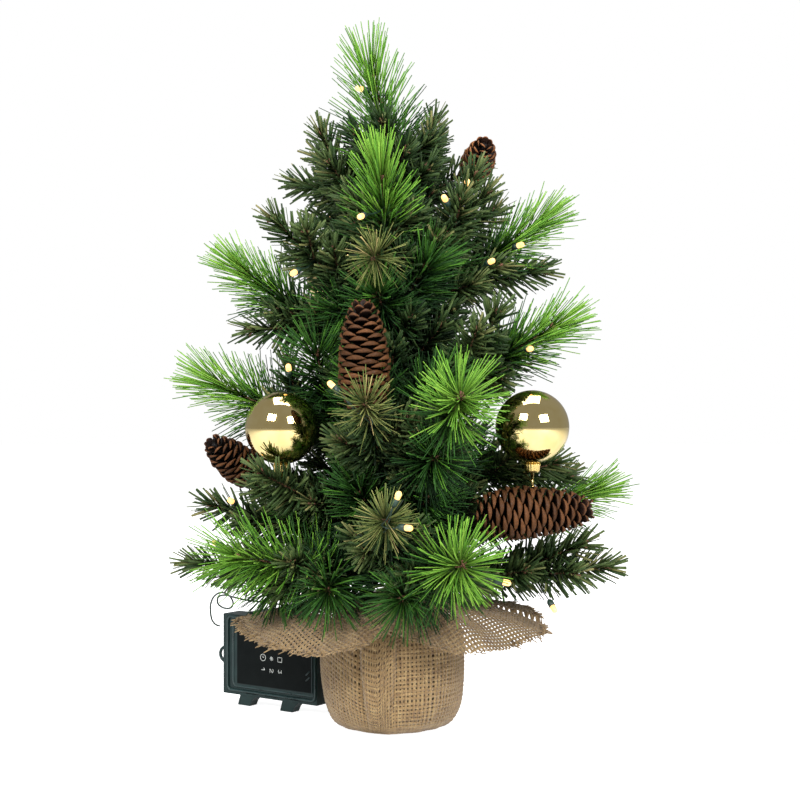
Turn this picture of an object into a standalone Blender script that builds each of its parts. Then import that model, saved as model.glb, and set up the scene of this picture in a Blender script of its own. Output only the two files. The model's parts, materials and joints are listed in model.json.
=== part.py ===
"""Tabletop artificial tree with a burlap-wrapped base and a battery box for its lights.

Metres, +Z up.  The origin is the middle of the flat underside of the burlap wrap.
+X is the tree's right-hand side and -Y its front.
"""

import math

import bmesh
import bpy
from mathutils import Matrix, Vector

# ---------------------------------------------------------------- driving dimensions

GAP = 0.0003            # clearance between pieces that touch

# weighted base and its burlap; outlines are (radius, height) points
POT_RADIUS = 0.0560
POT_HEIGHT = 0.0840
POT_WALL = 0.0020
POT_LIP = 0.0515        # radius of the rim
POT_SHOULDER = 0.0600   # height where the pot is widest
POT_HEEL = (0.0545, 0.0200)
POT_TOE = 0.0440        # radius above the rounded edge of the foot
POT_FOOT = 0.0400
BURLAP = 0.0020         # thickness of the wrap
COLLAR = 0.0025         # thickness of the flared collar
NECK_RADIUS = 0.0310
NECK_HEIGHT = 0.1080
WRAP_OUTSIDE = (
    (NECK_RADIUS, 0.1015), (0.0400, 0.0962), (0.0530, 0.0880), (0.0595, 0.0760),
    (0.0610, 0.0560), (0.0600, 0.0360), (0.0575, 0.0180), (0.0530, 0.0070),
    (0.0470, 0.0015), (0.0430, 0.0), (0.0, 0.0),
)
WRAP_INSIDE = (
    (0.0, BURLAP), (0.0430, BURLAP), (0.0460, 0.0034), (0.0512, 0.0080),
    (0.0555, 0.0185), (0.0580, 0.0365), (0.0590, 0.0560), (0.0576, 0.0750),
    (0.0517, 0.0862), (0.0390, 0.0942), (NECK_RADIUS - BURLAP, 0.1005),
    (NECK_RADIUS - BURLAP, NECK_HEIGHT),
)
TIE_RADIUS = 0.0336
TIE_HEIGHT = 0.1050
TIE_THICK = 0.0020
WEIGHT_TOP = 0.0700

# trunk and its wiring
TRUNK_RADIUS = 0.0045
TRUNK_FOOT = 0.0120
TRUNK_TOP = 0.5040
STRING_RADIUS = 0.0007
STRING_ORBIT = 0.0059
STRING_TURNS = 5
STRING_START = 155.0    # azimuth of its lower end, in degrees
STRING_BOTTOM = 0.1200
STRING_TOP = 0.4700
LEAD_RADIUS = 0.0008

# branches: the foliage core of each one is a turned spindle on a straight wire
ROOT_OFFSET = 0.0085    # distance of a branch's root from the trunk's axis
WIRE_RADIUS = 0.0012
FOLIAGE_RADIUS = {"pine": 0.0125, "fir": 0.0100, "sprig": 0.0095}
FOLIAGE_COLOUR = {
    "pine": (0.09, 0.30, 0.05),
    "fir": (0.015, 0.07, 0.03),
    "sprig": (0.07, 0.12, 0.05),
}
SPINDLE = ((0.0, 0.0), (0.35, 0.45), (0.62, 0.85), (0.75, 0.95), (0.88, 0.80), (1.0, 0.25))
SPINDLE_SIDES = 10

# name: (foliage, height of the root on the trunk, tip)
BRANCHES = {
    "pine_upper_front": ("pine", 0.372, (-0.012, -0.075, 0.488)),
    "pine_upper_left": ("pine", 0.300, (-0.155, 0.012, 0.405)),
    "pine_upper_right": ("pine", 0.345, (0.152, 0.030, 0.445)),
    "pine_mid_left": ("pine", 0.225, (-0.180, 0.020, 0.302)),
    "pine_mid_right": ("pine", 0.265, (0.165, -0.030, 0.352)),
    "pine_mid_front": ("pine", 0.175, (0.055, -0.155, 0.285)),
    "pine_low_left": ("pine", 0.124, (-0.150, -0.088, 0.154)),
    "pine_low_front": ("pine", 0.118, (0.053, -0.163, 0.154)),
    "pine_low_right": ("pine", 0.150, (0.203, 0.030, 0.203)),
    "fir_top_left": ("fir", 0.400, (-0.067, 0.005, 0.515)),
    "fir_top_right": ("fir", 0.425, (0.040, 0.020, 0.527)),
    "fir_upper_left": ("fir", 0.335, (-0.105, -0.055, 0.432)),
    "fir_upper_right": ("fir", 0.360, (0.088, -0.020, 0.460)),
    "fir_left_front": ("fir", 0.170, (-0.122, -0.050, 0.205)),
    "fir_right_mid": ("fir", 0.190, (0.150, -0.015, 0.225)),
    "fir_low_left": ("fir", 0.150, (-0.170, 0.015, 0.188)),
    "fir_bottom_left": ("fir", 0.120, (-0.187, 0.012, 0.137)),
    "fir_bottom_right": ("fir", 0.118, (0.193, -0.025, 0.137)),
    "sprig_front_mid": ("sprig", 0.192, (-0.021, -0.145, 0.275)),
    "sprig_front_low": ("sprig", 0.140, (-0.006, -0.155, 0.184)),
    "pine_back_upper": ("pine", 0.330, (0.025, 0.120, 0.430)),
    "fir_back_upper_left": ("fir", 0.385, (-0.070, 0.065, 0.478)),
    "pine_back_left": ("pine", 0.240, (-0.060, 0.155, 0.315)),
    "fir_back_right": ("fir", 0.255, (0.115, 0.115, 0.335)),
    "fir_back_low_left": ("fir", 0.155, (-0.125, 0.130, 0.190)),
    "pine_back_low_right": ("pine", 0.135, (0.060, 0.165, 0.175)),
}
LEADER_TIP = (-0.006, 0.0, 0.600)

# pinecones: (middle of the base, tip, largest radius)
CONES = {
    "cone_front": ((-0.021, -0.098, 0.270), (-0.023, -0.108, 0.352), 0.0210),
    "cone_right": ((0.072, -0.074, 0.183), (0.161, -0.071, 0.187), 0.0215),
    "cone_left": ((-0.118, -0.002, 0.210), (-0.150, -0.036, 0.240), 0.0170),
    "cone_top": ((0.070, 0.038, 0.473), (0.079, -0.004, 0.493), 0.0150),
    "cone_back": ((0.036, 0.112, 0.205), (0.052, 0.168, 0.222), 0.0200),
}
CONE_PROFILE = (
    (0.0, 0.40), (0.10, 0.80), (0.25, 1.0), (0.45, 0.97), (0.70, 0.72), (0.88, 0.42), (1.0, 0.12),
)
CONE_STEM = 0.0060

# baubles: each stands on its neck, over a cap and a wire pick
BAUBLE_RADIUS = 0.0300
BAUBLE_WALL = 0.0010
BAUBLE_RINGS = 9
BAUBLES = {
    "left": (-0.091, -0.045, 0.2520),
    "right": (0.114, -0.058, 0.2530),
    "back": (-0.050, 0.112, 0.3870),
}
NECK_HOLE = 0.0038
CAP_RADIUS = 0.0065
CAP_HEIGHT = 0.0070
CAP_GAP = 0.0011        # between the ball and its cap, over the ball's curve
CAP_STEM = 0.0060

# wire picks: (decoration, branch that holds it, share of the way along, bends on the way)
PICK_RADIUS = 0.0009
PICKS = (
    ("cone_front", "sprig_front_mid", 0.72, ()),
    ("cone_right", "fir_right_mid", 0.45, ((0.062, -0.060, 0.188),)),
    ("cone_left", "fir_left_front", 0.82, ((-0.108, -0.004, 0.200),)),
    ("cone_top", "fir_upper_right", 0.80, ((0.066, 0.038, 0.455),)),
    ("cone_back", "pine_back_low_right", 0.60, ((0.034, 0.104, 0.190),)),
    ("bauble_cap_right", "fir_right_mid", 0.72, ((0.114, -0.054, 0.2070),)),
    ("bauble_cap_back", "pine_back_left", 0.75, ()),
)

# flared collar: (azimuth in degrees, radius of the edge, height of the edge)
COLLAR_EDGE = (
    (0, 0.128, 0.084), (25, 0.100, 0.088), (50, 0.112, 0.080), (80, 0.086, 0.088),
    (110, 0.108, 0.080), (132, 0.074, 0.094), (158, 0.070, 0.096), (180, 0.132, 0.089),
    (205, 0.122, 0.077), (232, 0.106, 0.072), (255, 0.092, 0.078), (269, 0.074, 0.091),
    (282, 0.086, 0.083), (303, 0.104, 0.073), (325, 0.112, 0.074), (345, 0.130, 0.082),
)
COLLAR_INNER = 0.0370
COLLAR_TOP = 0.1070
COLLAR_DROOP = 1.6      # how late the cloth falls on its way out
COLLAR_STEPS = 48
COLLAR_RINGS = 4

# battery box, in its own frame: x along its face, y away from its front, z up
BOX_PLACE = (-0.110, 0.058, 0.0)
BOX_YAW = -35.0         # degrees about +Z
BOX_WIDTH = 0.108
BOX_BOTTOM = 0.009
BOX_TOP = 0.081
BOX_DEPTH = 0.022
BOX_WALL = 0.0020
# plates stacked on the front: (left edge, bottom, rise)
PLATES = ((-0.0435, 0.0160, 0.0010), (-0.0390, 0.0180, 0.0020), (-0.0350, 0.0200, 0.0030))
PLATE_INSET = 0.0010    # between the outer plate and the case's right side
FLANGE_SLOTS = (-0.0270, -0.0040, 0.0240)
FLANGE_SLOT_WIDTH = 0.0130
FLANGE_SLOT_HEIGHT = 0.0030
FLANGE_SLOT_DEPTH = 0.0010
FOOT_LEFTS = (-0.034, 0.015)
FOOT_OUTLINE = (
    (0.0, 0.0100), (-0.0030, 0.0), (0.0110, 0.0), (0.0130, 0.0045), (0.0165, 0.0080),
    (0.0205, 0.0100),
)
FOOT_FRONT = 0.0005
FOOT_BACK = 0.0100
LID_WIDTH = 0.104
LID_BOTTOM = 0.0150
LID_TOP = 0.0790
LID_DEPTH = 0.0070
LID_RIM = 0.0025
LID_SKIN = 0.0020
SEAL = 0.0012
HINGE_Y = 0.0275
HINGE_Z = 0.0110
PIN_RADIUS = 0.0010
PIN_HALF = 0.0280       # half the pin's length
KNUCKLE_RADIUS = 0.0026
KNUCKLE_HALF = 0.0221
LUG_HALF = 0.0220
CELL_RADIUS = 0.00725
CELL_LENGTH = 0.0505
CELL_LEFT = -0.0500
CELL_Y = 0.0125
CONTACT_THICK = 0.0008
BOARD_LOW = (0.008, 0.0080, 0.039)
BOARD_HIGH = (0.046, 0.0096, 0.077)
SWITCH_X = 0.012
SWITCH_Z = 0.064
SWITCH_SLOT = (0.0160, 0.0052)
SWITCH_KNOB = (0.0060, 0.0120, 0.0044)
LATCH_X = (-0.020, 0.034)
LATCH_PIVOT = (0.0080, BOX_TOP + 0.0016)
LATCH_HALF = 0.0090
LATCH_TAIL = 0.0008     # how far a latch reaches in front of its pivot
LATCH_REACH = 0.0215
LATCH_HALF_THICK = 0.0012
GLAND_LENGTH = 0.0077
GLAND_PLACE = (0.0125, 0.066)
GLAND_RADII = (0.0030, 0.0018)
LOOP_PLACE = (0.010, 0.042)
LOOP_RADIUS = 0.0065
LOOP_WIRE = 0.0015

# route of the free lead, from the gland on the box to the foot of the trunk
LEAD_ROUTE = (
    (-0.1606, 0.1130, 0.0660), (-0.1645, 0.1154, 0.0668), (-0.1680, 0.1160, 0.0710),
    (-0.1690, 0.1140, 0.0780), (-0.1685, 0.1100, 0.0865), (-0.1645, 0.1050, 0.0945),
    (-0.1575, 0.1000, 0.0985), (-0.1500, 0.0955, 0.0965), (-0.1460, 0.0945, 0.0900),
    (-0.1485, 0.0970, 0.0848), (-0.1550, 0.1000, 0.0843), (-0.1605, 0.1000, 0.0880),
    (-0.1600, 0.0965, 0.0945), (-0.1535, 0.0915, 0.0972), (-0.1426, 0.0895, 0.0950),
    (-0.1341, 0.0968, 0.0920), (-0.1223, 0.1032, 0.0895), (-0.1091, 0.1013, 0.0880),
    (-0.0954, 0.0929, 0.0880), (-0.0812, 0.0818, 0.0900), (-0.0682, 0.0689, 0.0935),
    (-0.0557, 0.0554, 0.1005), (-0.0430, 0.0420, 0.1065), (-0.0310, 0.0300, 0.1110),
    (-0.0200, 0.0180, 0.1140), (-0.0120, 0.0075, 0.1170), (-0.0065, 0.0031, 0.1192),
)
LEAD_POINTS = 74


# ---------------------------------------------------------------- helpers

def clear_scene():
    for obj in list(bpy.data.objects):
        bpy.data.objects.remove(obj, do_unlink=True)


def new_collection(name):
    collection = bpy.data.collections.new(name)
    bpy.context.scene.collection.children.link(collection)
    return collection


def material(name, colour, roughness, metallic=0.0):
    made = bpy.data.materials.new(name)
    made.use_nodes = True
    shader = made.node_tree.nodes["Principled BSDF"]
    shader.inputs["Base Color"].default_value = (*colour, 1.0)
    shader.inputs["Roughness"].default_value = roughness
    shader.inputs["Metallic"].default_value = metallic
    return made


def add_mesh(name, mesh, finish, parent=None):
    obj = bpy.data.objects.new(name, mesh)
    tree.objects.link(obj)
    obj.data.materials.append(finish)
    obj.parent = parent
    return obj


def from_bmesh(name, shape, finish, parent=None, smooth=False):
    bmesh.ops.recalc_face_normals(shape, faces=shape.faces)
    mesh = bpy.data.meshes.new(name)
    shape.to_mesh(mesh)
    shape.free()
    if smooth:
        mesh.shade_smooth()
        mesh.set_sharp_from_angle(angle=math.radians(40))
    return add_mesh(name, mesh, finish, parent)


def box_mesh(low, high):
    """A closed box between two corners."""
    low, high = Vector(low), Vector(high)
    size = high - low
    shape = bmesh.new()
    place = Matrix.Translation((low + high) / 2) @ Matrix.Diagonal((*size, 1.0))
    bmesh.ops.create_cube(shape, size=1.0, matrix=place)
    return shape


def rod_mesh(start, end, radius, end_radius=None, sides=16):
    """A closed cylinder or cone frustum between two points."""
    start, end = Vector(start), Vector(end)
    along = end - start
    turn = along.to_track_quat("Z", "Y").to_matrix().to_4x4()
    shape = bmesh.new()
    bmesh.ops.create_cone(
        shape, cap_ends=True, segments=sides, radius1=radius,
        radius2=radius if end_radius is None else end_radius, depth=along.length,
        matrix=Matrix.Translation((start + end) / 2) @ turn,
    )
    return shape


def cutter(name, shape, parent=None):
    bmesh.ops.recalc_face_normals(shape, faces=shape.faces)
    mesh = bpy.data.meshes.new(name)
    shape.to_mesh(mesh)
    shape.free()
    obj = bpy.data.objects.new(name, mesh)
    cutters.objects.link(obj)
    obj.parent = parent
    obj.hide_render = True
    obj.display_type = "WIRE"
    return obj


def combine(obj, tool, operation):
    """Joins a tool to an object, or cuts it away."""
    change = obj.modifiers.new(tool.name, "BOOLEAN")
    change.operation = operation
    change.solver = "EXACT"
    change.object = tool


def turned(name, chains, finish, sides, parent=None):
    """A solid turned about local Z.

    Each chain is a run of (radius, height) points, down the outside or up the inside, and
    points that two chains share are joined.
    """
    places, edges = [], []
    for chain in chains:
        numbers = []
        for point in chain:
            if point not in places:
                places.append(point)
            numbers.append(places.index(point))
        edges += zip(numbers, numbers[1:])
    mesh = bpy.data.meshes.new(name)
    mesh.from_pydata([(radius, 0.0, height) for radius, height in places], edges, [])
    obj = add_mesh(name, mesh, finish, parent)
    screw = obj.modifiers.new("turn", "SCREW")
    screw.steps = screw.render_steps = sides
    screw.use_merge_vertices = True
    screw.merge_threshold = 0.00001
    screw.use_smooth_shade = True
    return obj


def aim(obj, start, end):
    """Puts a turned piece's origin at start, with its local Z towards end."""
    obj.location = start
    obj.rotation_mode = "QUATERNION"
    obj.rotation_quaternion = (Vector(end) - Vector(start)).to_track_quat("Z", "Y")


def smooth_points(route, count):
    """Evenly spaced points on a Catmull-Rom curve through a route."""
    points = [Vector(p) for p in route]
    ends = [points[0] * 2 - points[1], *points, points[-1] * 2 - points[-2]]
    dense = []
    for i in range(1, len(ends) - 2):
        a, b, c, d = ends[i - 1:i + 3]
        for step in range(12):
            t = step / 12
            dense.append(0.5 * (
                2 * b + (c - a) * t + (2 * a - 5 * b + 4 * c - d) * t ** 2
                + (3 * b - a - 3 * c + d) * t ** 3
            ))
    dense.append(points[-1])
    runs = [0.0]
    for before, after in zip(dense, dense[1:]):
        runs.append(runs[-1] + (after - before).length)
    found, at = [], 0
    for i in range(count):
        want = runs[-1] * i / (count - 1)
        while at < len(runs) - 2 and runs[at + 1] < want:
            at += 1
        share = (want - runs[at]) / (runs[at + 1] - runs[at])
        found.append(dense[at].lerp(dense[at + 1], min(max(share, 0.0), 1.0)))
    return found


def tube(name, points, radius, finish, parent=None, resolution=2):
    """A round wire through the points, with closed ends."""
    curve = bpy.data.curves.new(name, "CURVE")
    curve.dimensions = "3D"
    curve.bevel_depth = radius
    curve.bevel_resolution = resolution
    curve.use_fill_caps = True
    line = curve.splines.new("POLY")
    line.points.add(len(points) - 1)
    for point, place in zip(line.points, points):
        point.co = (*place, 1.0)
    curve.materials.append(finish)
    obj = bpy.data.objects.new(name, curve)
    tree.objects.link(obj)
    obj.parent = parent
    return obj


# ---------------------------------------------------------------- base

def build_base():
    build_wrap(material("burlap", (0.42, 0.26, 0.12), 0.95))
    build_pot(material("pot_plastic", (0.03, 0.03, 0.03), 0.5))
    build_weight(material("plaster", (0.55, 0.53, 0.50), 0.9))
    build_tie(material("jute_cord", (0.45, 0.29, 0.14), 0.9))
    build_collar(material("burlap_loose", (0.46, 0.29, 0.14), 0.95))


def build_wrap(finish):
    """The sack round the pot: a flat underside, a round belly and a narrow neck."""
    rim = (NECK_RADIUS, NECK_HEIGHT)
    turned("burlap_wrap", [[rim, *WRAP_OUTSIDE], [*WRAP_INSIDE, rim]], finish, 28)


def build_pot(finish):
    foot = BURLAP + GAP
    floor = foot + POT_WALL
    heel, heel_height = POT_HEEL
    rim = (POT_LIP, POT_HEIGHT)
    outside = [rim, (POT_RADIUS, POT_SHOULDER), POT_HEEL, (POT_TOE, foot + 0.0042),
               (POT_FOOT, foot), (0.0, foot)]
    inside = [(0.0, floor), (POT_FOOT - POT_WALL, floor), (POT_TOE - POT_WALL, foot + 0.0062),
              (heel - POT_WALL, heel_height + POT_WALL), (POT_RADIUS - POT_WALL, POT_SHOULDER),
              (POT_LIP - POT_WALL, POT_HEIGHT), rim]
    turned("base_pot", [outside, inside], finish, 24)


def build_weight(finish):
    """The plaster plug in the pot, with a blind hole for the trunk."""
    foot = BURLAP + POT_WALL + 2 * GAP
    inset = GAP + POT_WALL
    heel, heel_height = POT_HEEL
    mouth = (TRUNK_RADIUS + GAP, WEIGHT_TOP)
    outside = [mouth, (POT_LIP - GAP, WEIGHT_TOP), (POT_RADIUS - inset, POT_SHOULDER),
               (heel - inset, heel_height + inset + 0.0001), (POT_TOE - inset, foot + 0.0050),
               (POT_FOOT - inset - 0.0004, foot), (0.0, foot)]
    hole = [(0.0, TRUNK_FOOT - GAP), (mouth[0], TRUNK_FOOT - GAP), mouth]
    turned("base_weight", [outside, hole], finish, 24)


def build_tie(finish):
    """The cord ring that gathers the cloth at the neck."""
    turns = [math.pi / 2 - math.tau * i / 8 for i in range(8)]
    section = [
        (TIE_RADIUS + TIE_THICK * math.cos(a), TIE_HEIGHT + TIE_THICK * math.sin(a)) for a in turns
    ]
    turned("neck_tie", [[*section, section[0]]], finish, 32)


def build_collar(finish):
    """A flared skirt of cloth whose edge rises and falls round the neck."""
    shape = bmesh.new()
    rows = []
    for ring in range(COLLAR_RINGS + 1):
        out = ring / COLLAR_RINGS
        row = []
        for step in range(COLLAR_STEPS):
            radius, height = collar_edge(360.0 * step / COLLAR_STEPS)
            reach = COLLAR_INNER + (radius - COLLAR_INNER) * out
            drop = COLLAR_TOP + (height - COLLAR_TOP) * out ** COLLAR_DROOP
            turn = math.tau * step / COLLAR_STEPS
            row.append(shape.verts.new((reach * math.cos(turn), reach * math.sin(turn), drop)))
        rows.append(row)
    for inner, outer in zip(rows, rows[1:]):
        for i in range(COLLAR_STEPS):
            after = (i + 1) % COLLAR_STEPS
            shape.faces.new((inner[i], outer[i], outer[after], inner[after]))
    obj = from_bmesh("burlap_collar", shape, finish, smooth=True)
    thick = obj.modifiers.new("cloth", "SOLIDIFY")
    thick.thickness = COLLAR
    thick.offset = 0.0


def collar_edge(azimuth):
    """Radius and height of the collar's edge, eased between the named azimuths."""
    table = (*COLLAR_EDGE, (360, *COLLAR_EDGE[0][1:]))
    for before, after in zip(table, table[1:]):
        if before[0] <= azimuth <= after[0]:
            share = (azimuth - before[0]) / (after[0] - before[0])
            share = share * share * (3 - 2 * share)
            return [a + (b - a) * share for a, b in zip(before[1:], after[1:])]


# ---------------------------------------------------------------- trunk and wiring

def build_trunk():
    brown = material("trunk_wood", (0.10, 0.05, 0.02), 0.8)
    shape = rod_mesh((0, 0, TRUNK_FOOT), (0, 0, TRUNK_TOP), TRUNK_RADIUS)
    from_bmesh("trunk_pole", shape, brown, smooth=True)
    green = material("wire_green", (0.01, 0.05, 0.03), 0.45)
    steps = STRING_TURNS * 10
    points = []
    for i in range(steps + 1):
        turn = math.tau * STRING_TURNS * i / steps + math.radians(STRING_START)
        height = STRING_BOTTOM + (STRING_TOP - STRING_BOTTOM) * i / steps
        points.append((STRING_ORBIT * math.cos(turn), STRING_ORBIT * math.sin(turn), height))
    tube("light_string", points, STRING_RADIUS, green)
    tube("lead_wire", smooth_points(LEAD_ROUTE, LEAD_POINTS), LEAD_RADIUS, green)


# ---------------------------------------------------------------- branches

def spindle(name, kind, root, tip, finish):
    """Branch wire and foliage core as one convex turned solid, with its origin at the root."""
    length = (Vector(tip) - Vector(root)).length
    swell = FOLIAGE_RADIUS[kind] - WIRE_RADIUS
    profile = [(WIRE_RADIUS + swell * out, length * along) for along, out in SPINDLE]
    closed = [(0.0, length), *reversed(profile), (0.0, 0.0)]
    aim(turned(name, [closed], finish, SPINDLE_SIDES), root, tip)


def branch_point(name, share):
    """A point on a branch's axis, and the foliage core's radius there."""
    kind, height, tip = BRANCHES[name]
    root = Vector(branch_root(height, tip))
    for before, after in zip(SPINDLE, SPINDLE[1:]):
        if before[0] <= share <= after[0]:
            part = (share - before[0]) / (after[0] - before[0])
            out = before[1] + (after[1] - before[1]) * part
    radius = WIRE_RADIUS + (FOLIAGE_RADIUS[kind] - WIRE_RADIUS) * out
    return root.lerp(Vector(tip), share), radius


def branch_root(height, tip):
    outward = Vector((tip[0], tip[1], 0.0)).normalized() * ROOT_OFFSET
    return (outward.x, outward.y, height)


def build_branches():
    finishes = {
        kind: material(f"needles_{kind}", colour, 0.6) for kind, colour in FOLIAGE_COLOUR.items()
    }
    for name, (kind, height, tip) in BRANCHES.items():
        spindle(name, kind, branch_root(height, tip), tip, finishes[kind])
    spindle("leader", "pine", (0.0, 0.0, TRUNK_TOP + GAP), LEADER_TIP, finishes["pine"])


# ---------------------------------------------------------------- decorations

def build_cones():
    brown = material("pinecone", (0.16, 0.06, 0.03), 0.75)
    for name, (base, tip, radius) in CONES.items():
        length = (Vector(tip) - Vector(base)).length
        body = [(radius * out, length * along) for along, out in reversed(CONE_PROFILE)]
        stem = [(WIRE_RADIUS, 0.0), (WIRE_RADIUS, -CONE_STEM), (0.0, -CONE_STEM)]
        aim(turned(name, [[(0.0, length), *body, *stem]], brown, 16), base, tip)


def build_picks():
    """The wire that carries each decoration from the branch it is twisted on."""
    for name, branch, share, bends in PICKS:
        piece = bpy.data.objects[name]
        if name in CONES:
            base, tip, _ = CONES[name]
            inward = (Vector(tip) - Vector(base)).normalized()
            start = Vector(base) - inward * (CONE_STEM - 0.001)
        else:
            start = Vector(BAUBLES[name.split("_")[-1]]) + Vector((0.0, 0.0, cap_foot() + 0.001))
            inward = Vector((0.0, 0.0, 1.0))
        core, radius = branch_point(branch, share)
        last = Vector(bends[-1]) if bends else start
        end = core + (last - core).normalized() * (radius + PICK_RADIUS + GAP)
        wire = tube(f"pick_{name}", [start + inward * 0.003, start, *map(Vector, bends), end],
                    PICK_RADIUS, piece.data.materials[0])
        combine(piece, solid_cutter(wire), "UNION")


def solid_cutter(wire):
    """Turns a wire into a closed mesh among the cutters, and removes the curve."""
    ready = wire.evaluated_get(bpy.context.evaluated_depsgraph_get())
    shape = bmesh.new()
    mesh = bpy.data.meshes.new_from_object(ready)
    shape.from_mesh(mesh)
    bpy.data.meshes.remove(mesh)
    bmesh.ops.remove_doubles(shape, verts=shape.verts, dist=0.00001)
    name, place = wire.name, wire.matrix_world.copy()
    bpy.data.objects.remove(wire, do_unlink=True)
    made = cutter(name, shape)
    made.matrix_world = place
    return made


def cap_top():
    """Height of a cap's top face from its bauble's middle."""
    return -math.sqrt(BAUBLE_RADIUS ** 2 - CAP_RADIUS ** 2) - CAP_GAP


def cap_foot():
    return cap_top() - CAP_HEIGHT - CAP_STEM


def ball_outline(radius):
    """From the top of a sphere down to the hole in its neck."""
    low = math.pi - math.asin(NECK_HOLE / radius)
    turns = [low * i / BAUBLE_RINGS for i in range(BAUBLE_RINGS + 1)]
    return [(radius * math.sin(a), radius * math.cos(a)) for a in turns]


def build_baubles():
    gold = material("gold_mirror", (0.85, 0.62, 0.22), 0.08, 1.0)
    cap_gold = material("gold_cap", (0.75, 0.55, 0.22), 0.25, 1.0)
    shell = [*ball_outline(BAUBLE_RADIUS), *reversed(ball_outline(BAUBLE_RADIUS - BAUBLE_WALL))]
    top, foot = cap_top(), cap_foot()
    rim = top - CAP_HEIGHT
    cap_outline = [(0.0, top), (CAP_RADIUS, top), (CAP_RADIUS, rim), (WIRE_RADIUS * 2, rim),
                   (WIRE_RADIUS, rim - 0.001), (WIRE_RADIUS, foot), (0.0, foot)]
    for side, centre in BAUBLES.items():
        turned(f"bauble_{side}", [shell], gold, 20).location = centre
        turned(f"bauble_cap_{side}", [cap_outline], cap_gold, 16).location = centre


# ---------------------------------------------------------------- battery box

def build_box():
    place = bpy.data.objects.new("battery_box", None)
    tree.objects.link(place)
    place.location = BOX_PLACE
    place.rotation_euler = (0.0, 0.0, math.radians(BOX_YAW))
    dark = material("case_green", (0.008, 0.02, 0.02), 0.35)
    build_case(place, dark)
    build_lid(place, dark)
    build_insides(place)
    build_fittings(place, dark)


def build_case(place, dark):
    half = BOX_WIDTH / 2
    case = from_bmesh("battery_case", box_mesh((-half, 0, BOX_BOTTOM), (half, BOX_DEPTH, BOX_TOP)),
                      dark, place)
    for i, (left, bottom, rise) in enumerate(PLATES):
        inset = PLATE_INSET * (i + 1)
        plate = box_mesh((left, -rise, bottom), (half - inset, 0.001, BOX_TOP - inset))
        combine(case, cutter(f"case_plate_{i}", plate, place), "UNION")
    for i, left in enumerate(FOOT_LEFTS):
        combine(case, cutter(f"case_foot_{i}", foot_mesh(left), place), "UNION")
    inside = half - BOX_WALL
    hollow = box_mesh((-inside, BOX_WALL, BOX_BOTTOM + BOX_WALL),
                      (inside, BOX_DEPTH + 0.01, BOX_TOP - BOX_WALL))
    combine(case, cutter("case_hollow", hollow, place), "DIFFERENCE")
    for i, left in enumerate(FLANGE_SLOTS):
        low = BOX_BOTTOM + BOX_WALL
        slot = box_mesh((left, -0.01, low),
                        (left + FLANGE_SLOT_WIDTH, FLANGE_SLOT_DEPTH, low + FLANGE_SLOT_HEIGHT))
        combine(case, cutter(f"flange_slot_{i}", slot, place), "DIFFERENCE")
    wide, high = SWITCH_SLOT
    slot = box_mesh((SWITCH_X - wide / 2, -0.02, SWITCH_Z - high / 2),
                    (SWITCH_X + wide / 2, 0.01, SWITCH_Z + high / 2))
    combine(case, cutter("switch_slot", slot, place), "DIFFERENCE")


def foot_mesh(left):
    """A tab under the case, with one straight side and one hollowed side."""
    shape = bmesh.new()
    front = [shape.verts.new((left + x, FOOT_FRONT, z)) for x, z in FOOT_OUTLINE]
    back = [shape.verts.new((left + x, FOOT_BACK, z)) for x, z in FOOT_OUTLINE]
    shape.faces.new(front)
    shape.faces.new(reversed(back))
    for i in range(len(front)):
        shape.faces.new((front[i - 1], back[i - 1], back[i], front[i]))
    return shape


def joint_empty(name, parent, place):
    """An empty on a joint's axis, for the piece that turns there."""
    pivot = bpy.data.objects.new(name, None)
    tree.objects.link(pivot)
    pivot.parent = parent
    pivot.location = place
    return pivot


def build_lid(place, dark):
    """The lid at the back, its seal, and the pin that it turns on."""
    front = BOX_DEPTH + SEAL + 2 * GAP - HINGE_Y
    low, high = LID_BOTTOM - HINGE_Z, LID_TOP - HINGE_Z
    half = LID_WIDTH / 2
    inner = half - LID_RIM
    pivot = joint_empty("lid_hinge", place, (0.0, HINGE_Y, HINGE_Z))
    lid = from_bmesh("battery_lid", box_mesh((-half, front, low), (half, front + LID_DEPTH, high)),
                     dark, pivot)
    hollow = box_mesh((-inner, front - 0.01, low + LID_RIM),
                      (inner, front + LID_DEPTH - LID_SKIN, high - LID_RIM))
    combine(lid, cutter("lid_hollow", hollow, pivot), "DIFFERENCE")
    lug = box_mesh((-LUG_HALF, -0.0016, -0.0012), (LUG_HALF, 0.0016, low + 0.001))
    combine(lid, cutter("lid_lug", lug, pivot), "UNION")
    knuckle = rod_mesh((-KNUCKLE_HALF, 0, 0), (KNUCKLE_HALF, 0, 0), KNUCKLE_RADIUS, sides=20)
    combine(lid, cutter("lid_knuckle", knuckle, pivot), "UNION")
    bore = rod_mesh((-0.03, 0, 0), (0.03, 0, 0), PIN_RADIUS + GAP, sides=20)
    combine(lid, cutter("pin_hole", bore, pivot), "DIFFERENCE")
    steel = material("steel_pin", (0.5, 0.5, 0.5), 0.3, 1.0)
    pin = rod_mesh((-PIN_HALF, HINGE_Y, HINGE_Z), (PIN_HALF, HINGE_Y, HINGE_Z), PIN_RADIUS)
    from_bmesh("hinge_pin", pin, steel, place, smooth=True)
    build_seal(place, half, inner)


def build_seal(place, half, inner):
    """The rubber frame between the case and its lid."""
    near = BOX_DEPTH + GAP
    frame = box_mesh((-half, near, LID_BOTTOM), (half, near + SEAL, LID_TOP))
    seal = from_bmesh("lid_seal", frame, material("seal_rubber", (0.05, 0.05, 0.05), 0.8), place)
    hole = box_mesh((-inner, 0, LID_BOTTOM + LID_RIM), (inner, 0.05, LID_TOP - LID_RIM))
    combine(seal, cutter("seal_hollow", hole, place), "DIFFERENCE")


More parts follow.
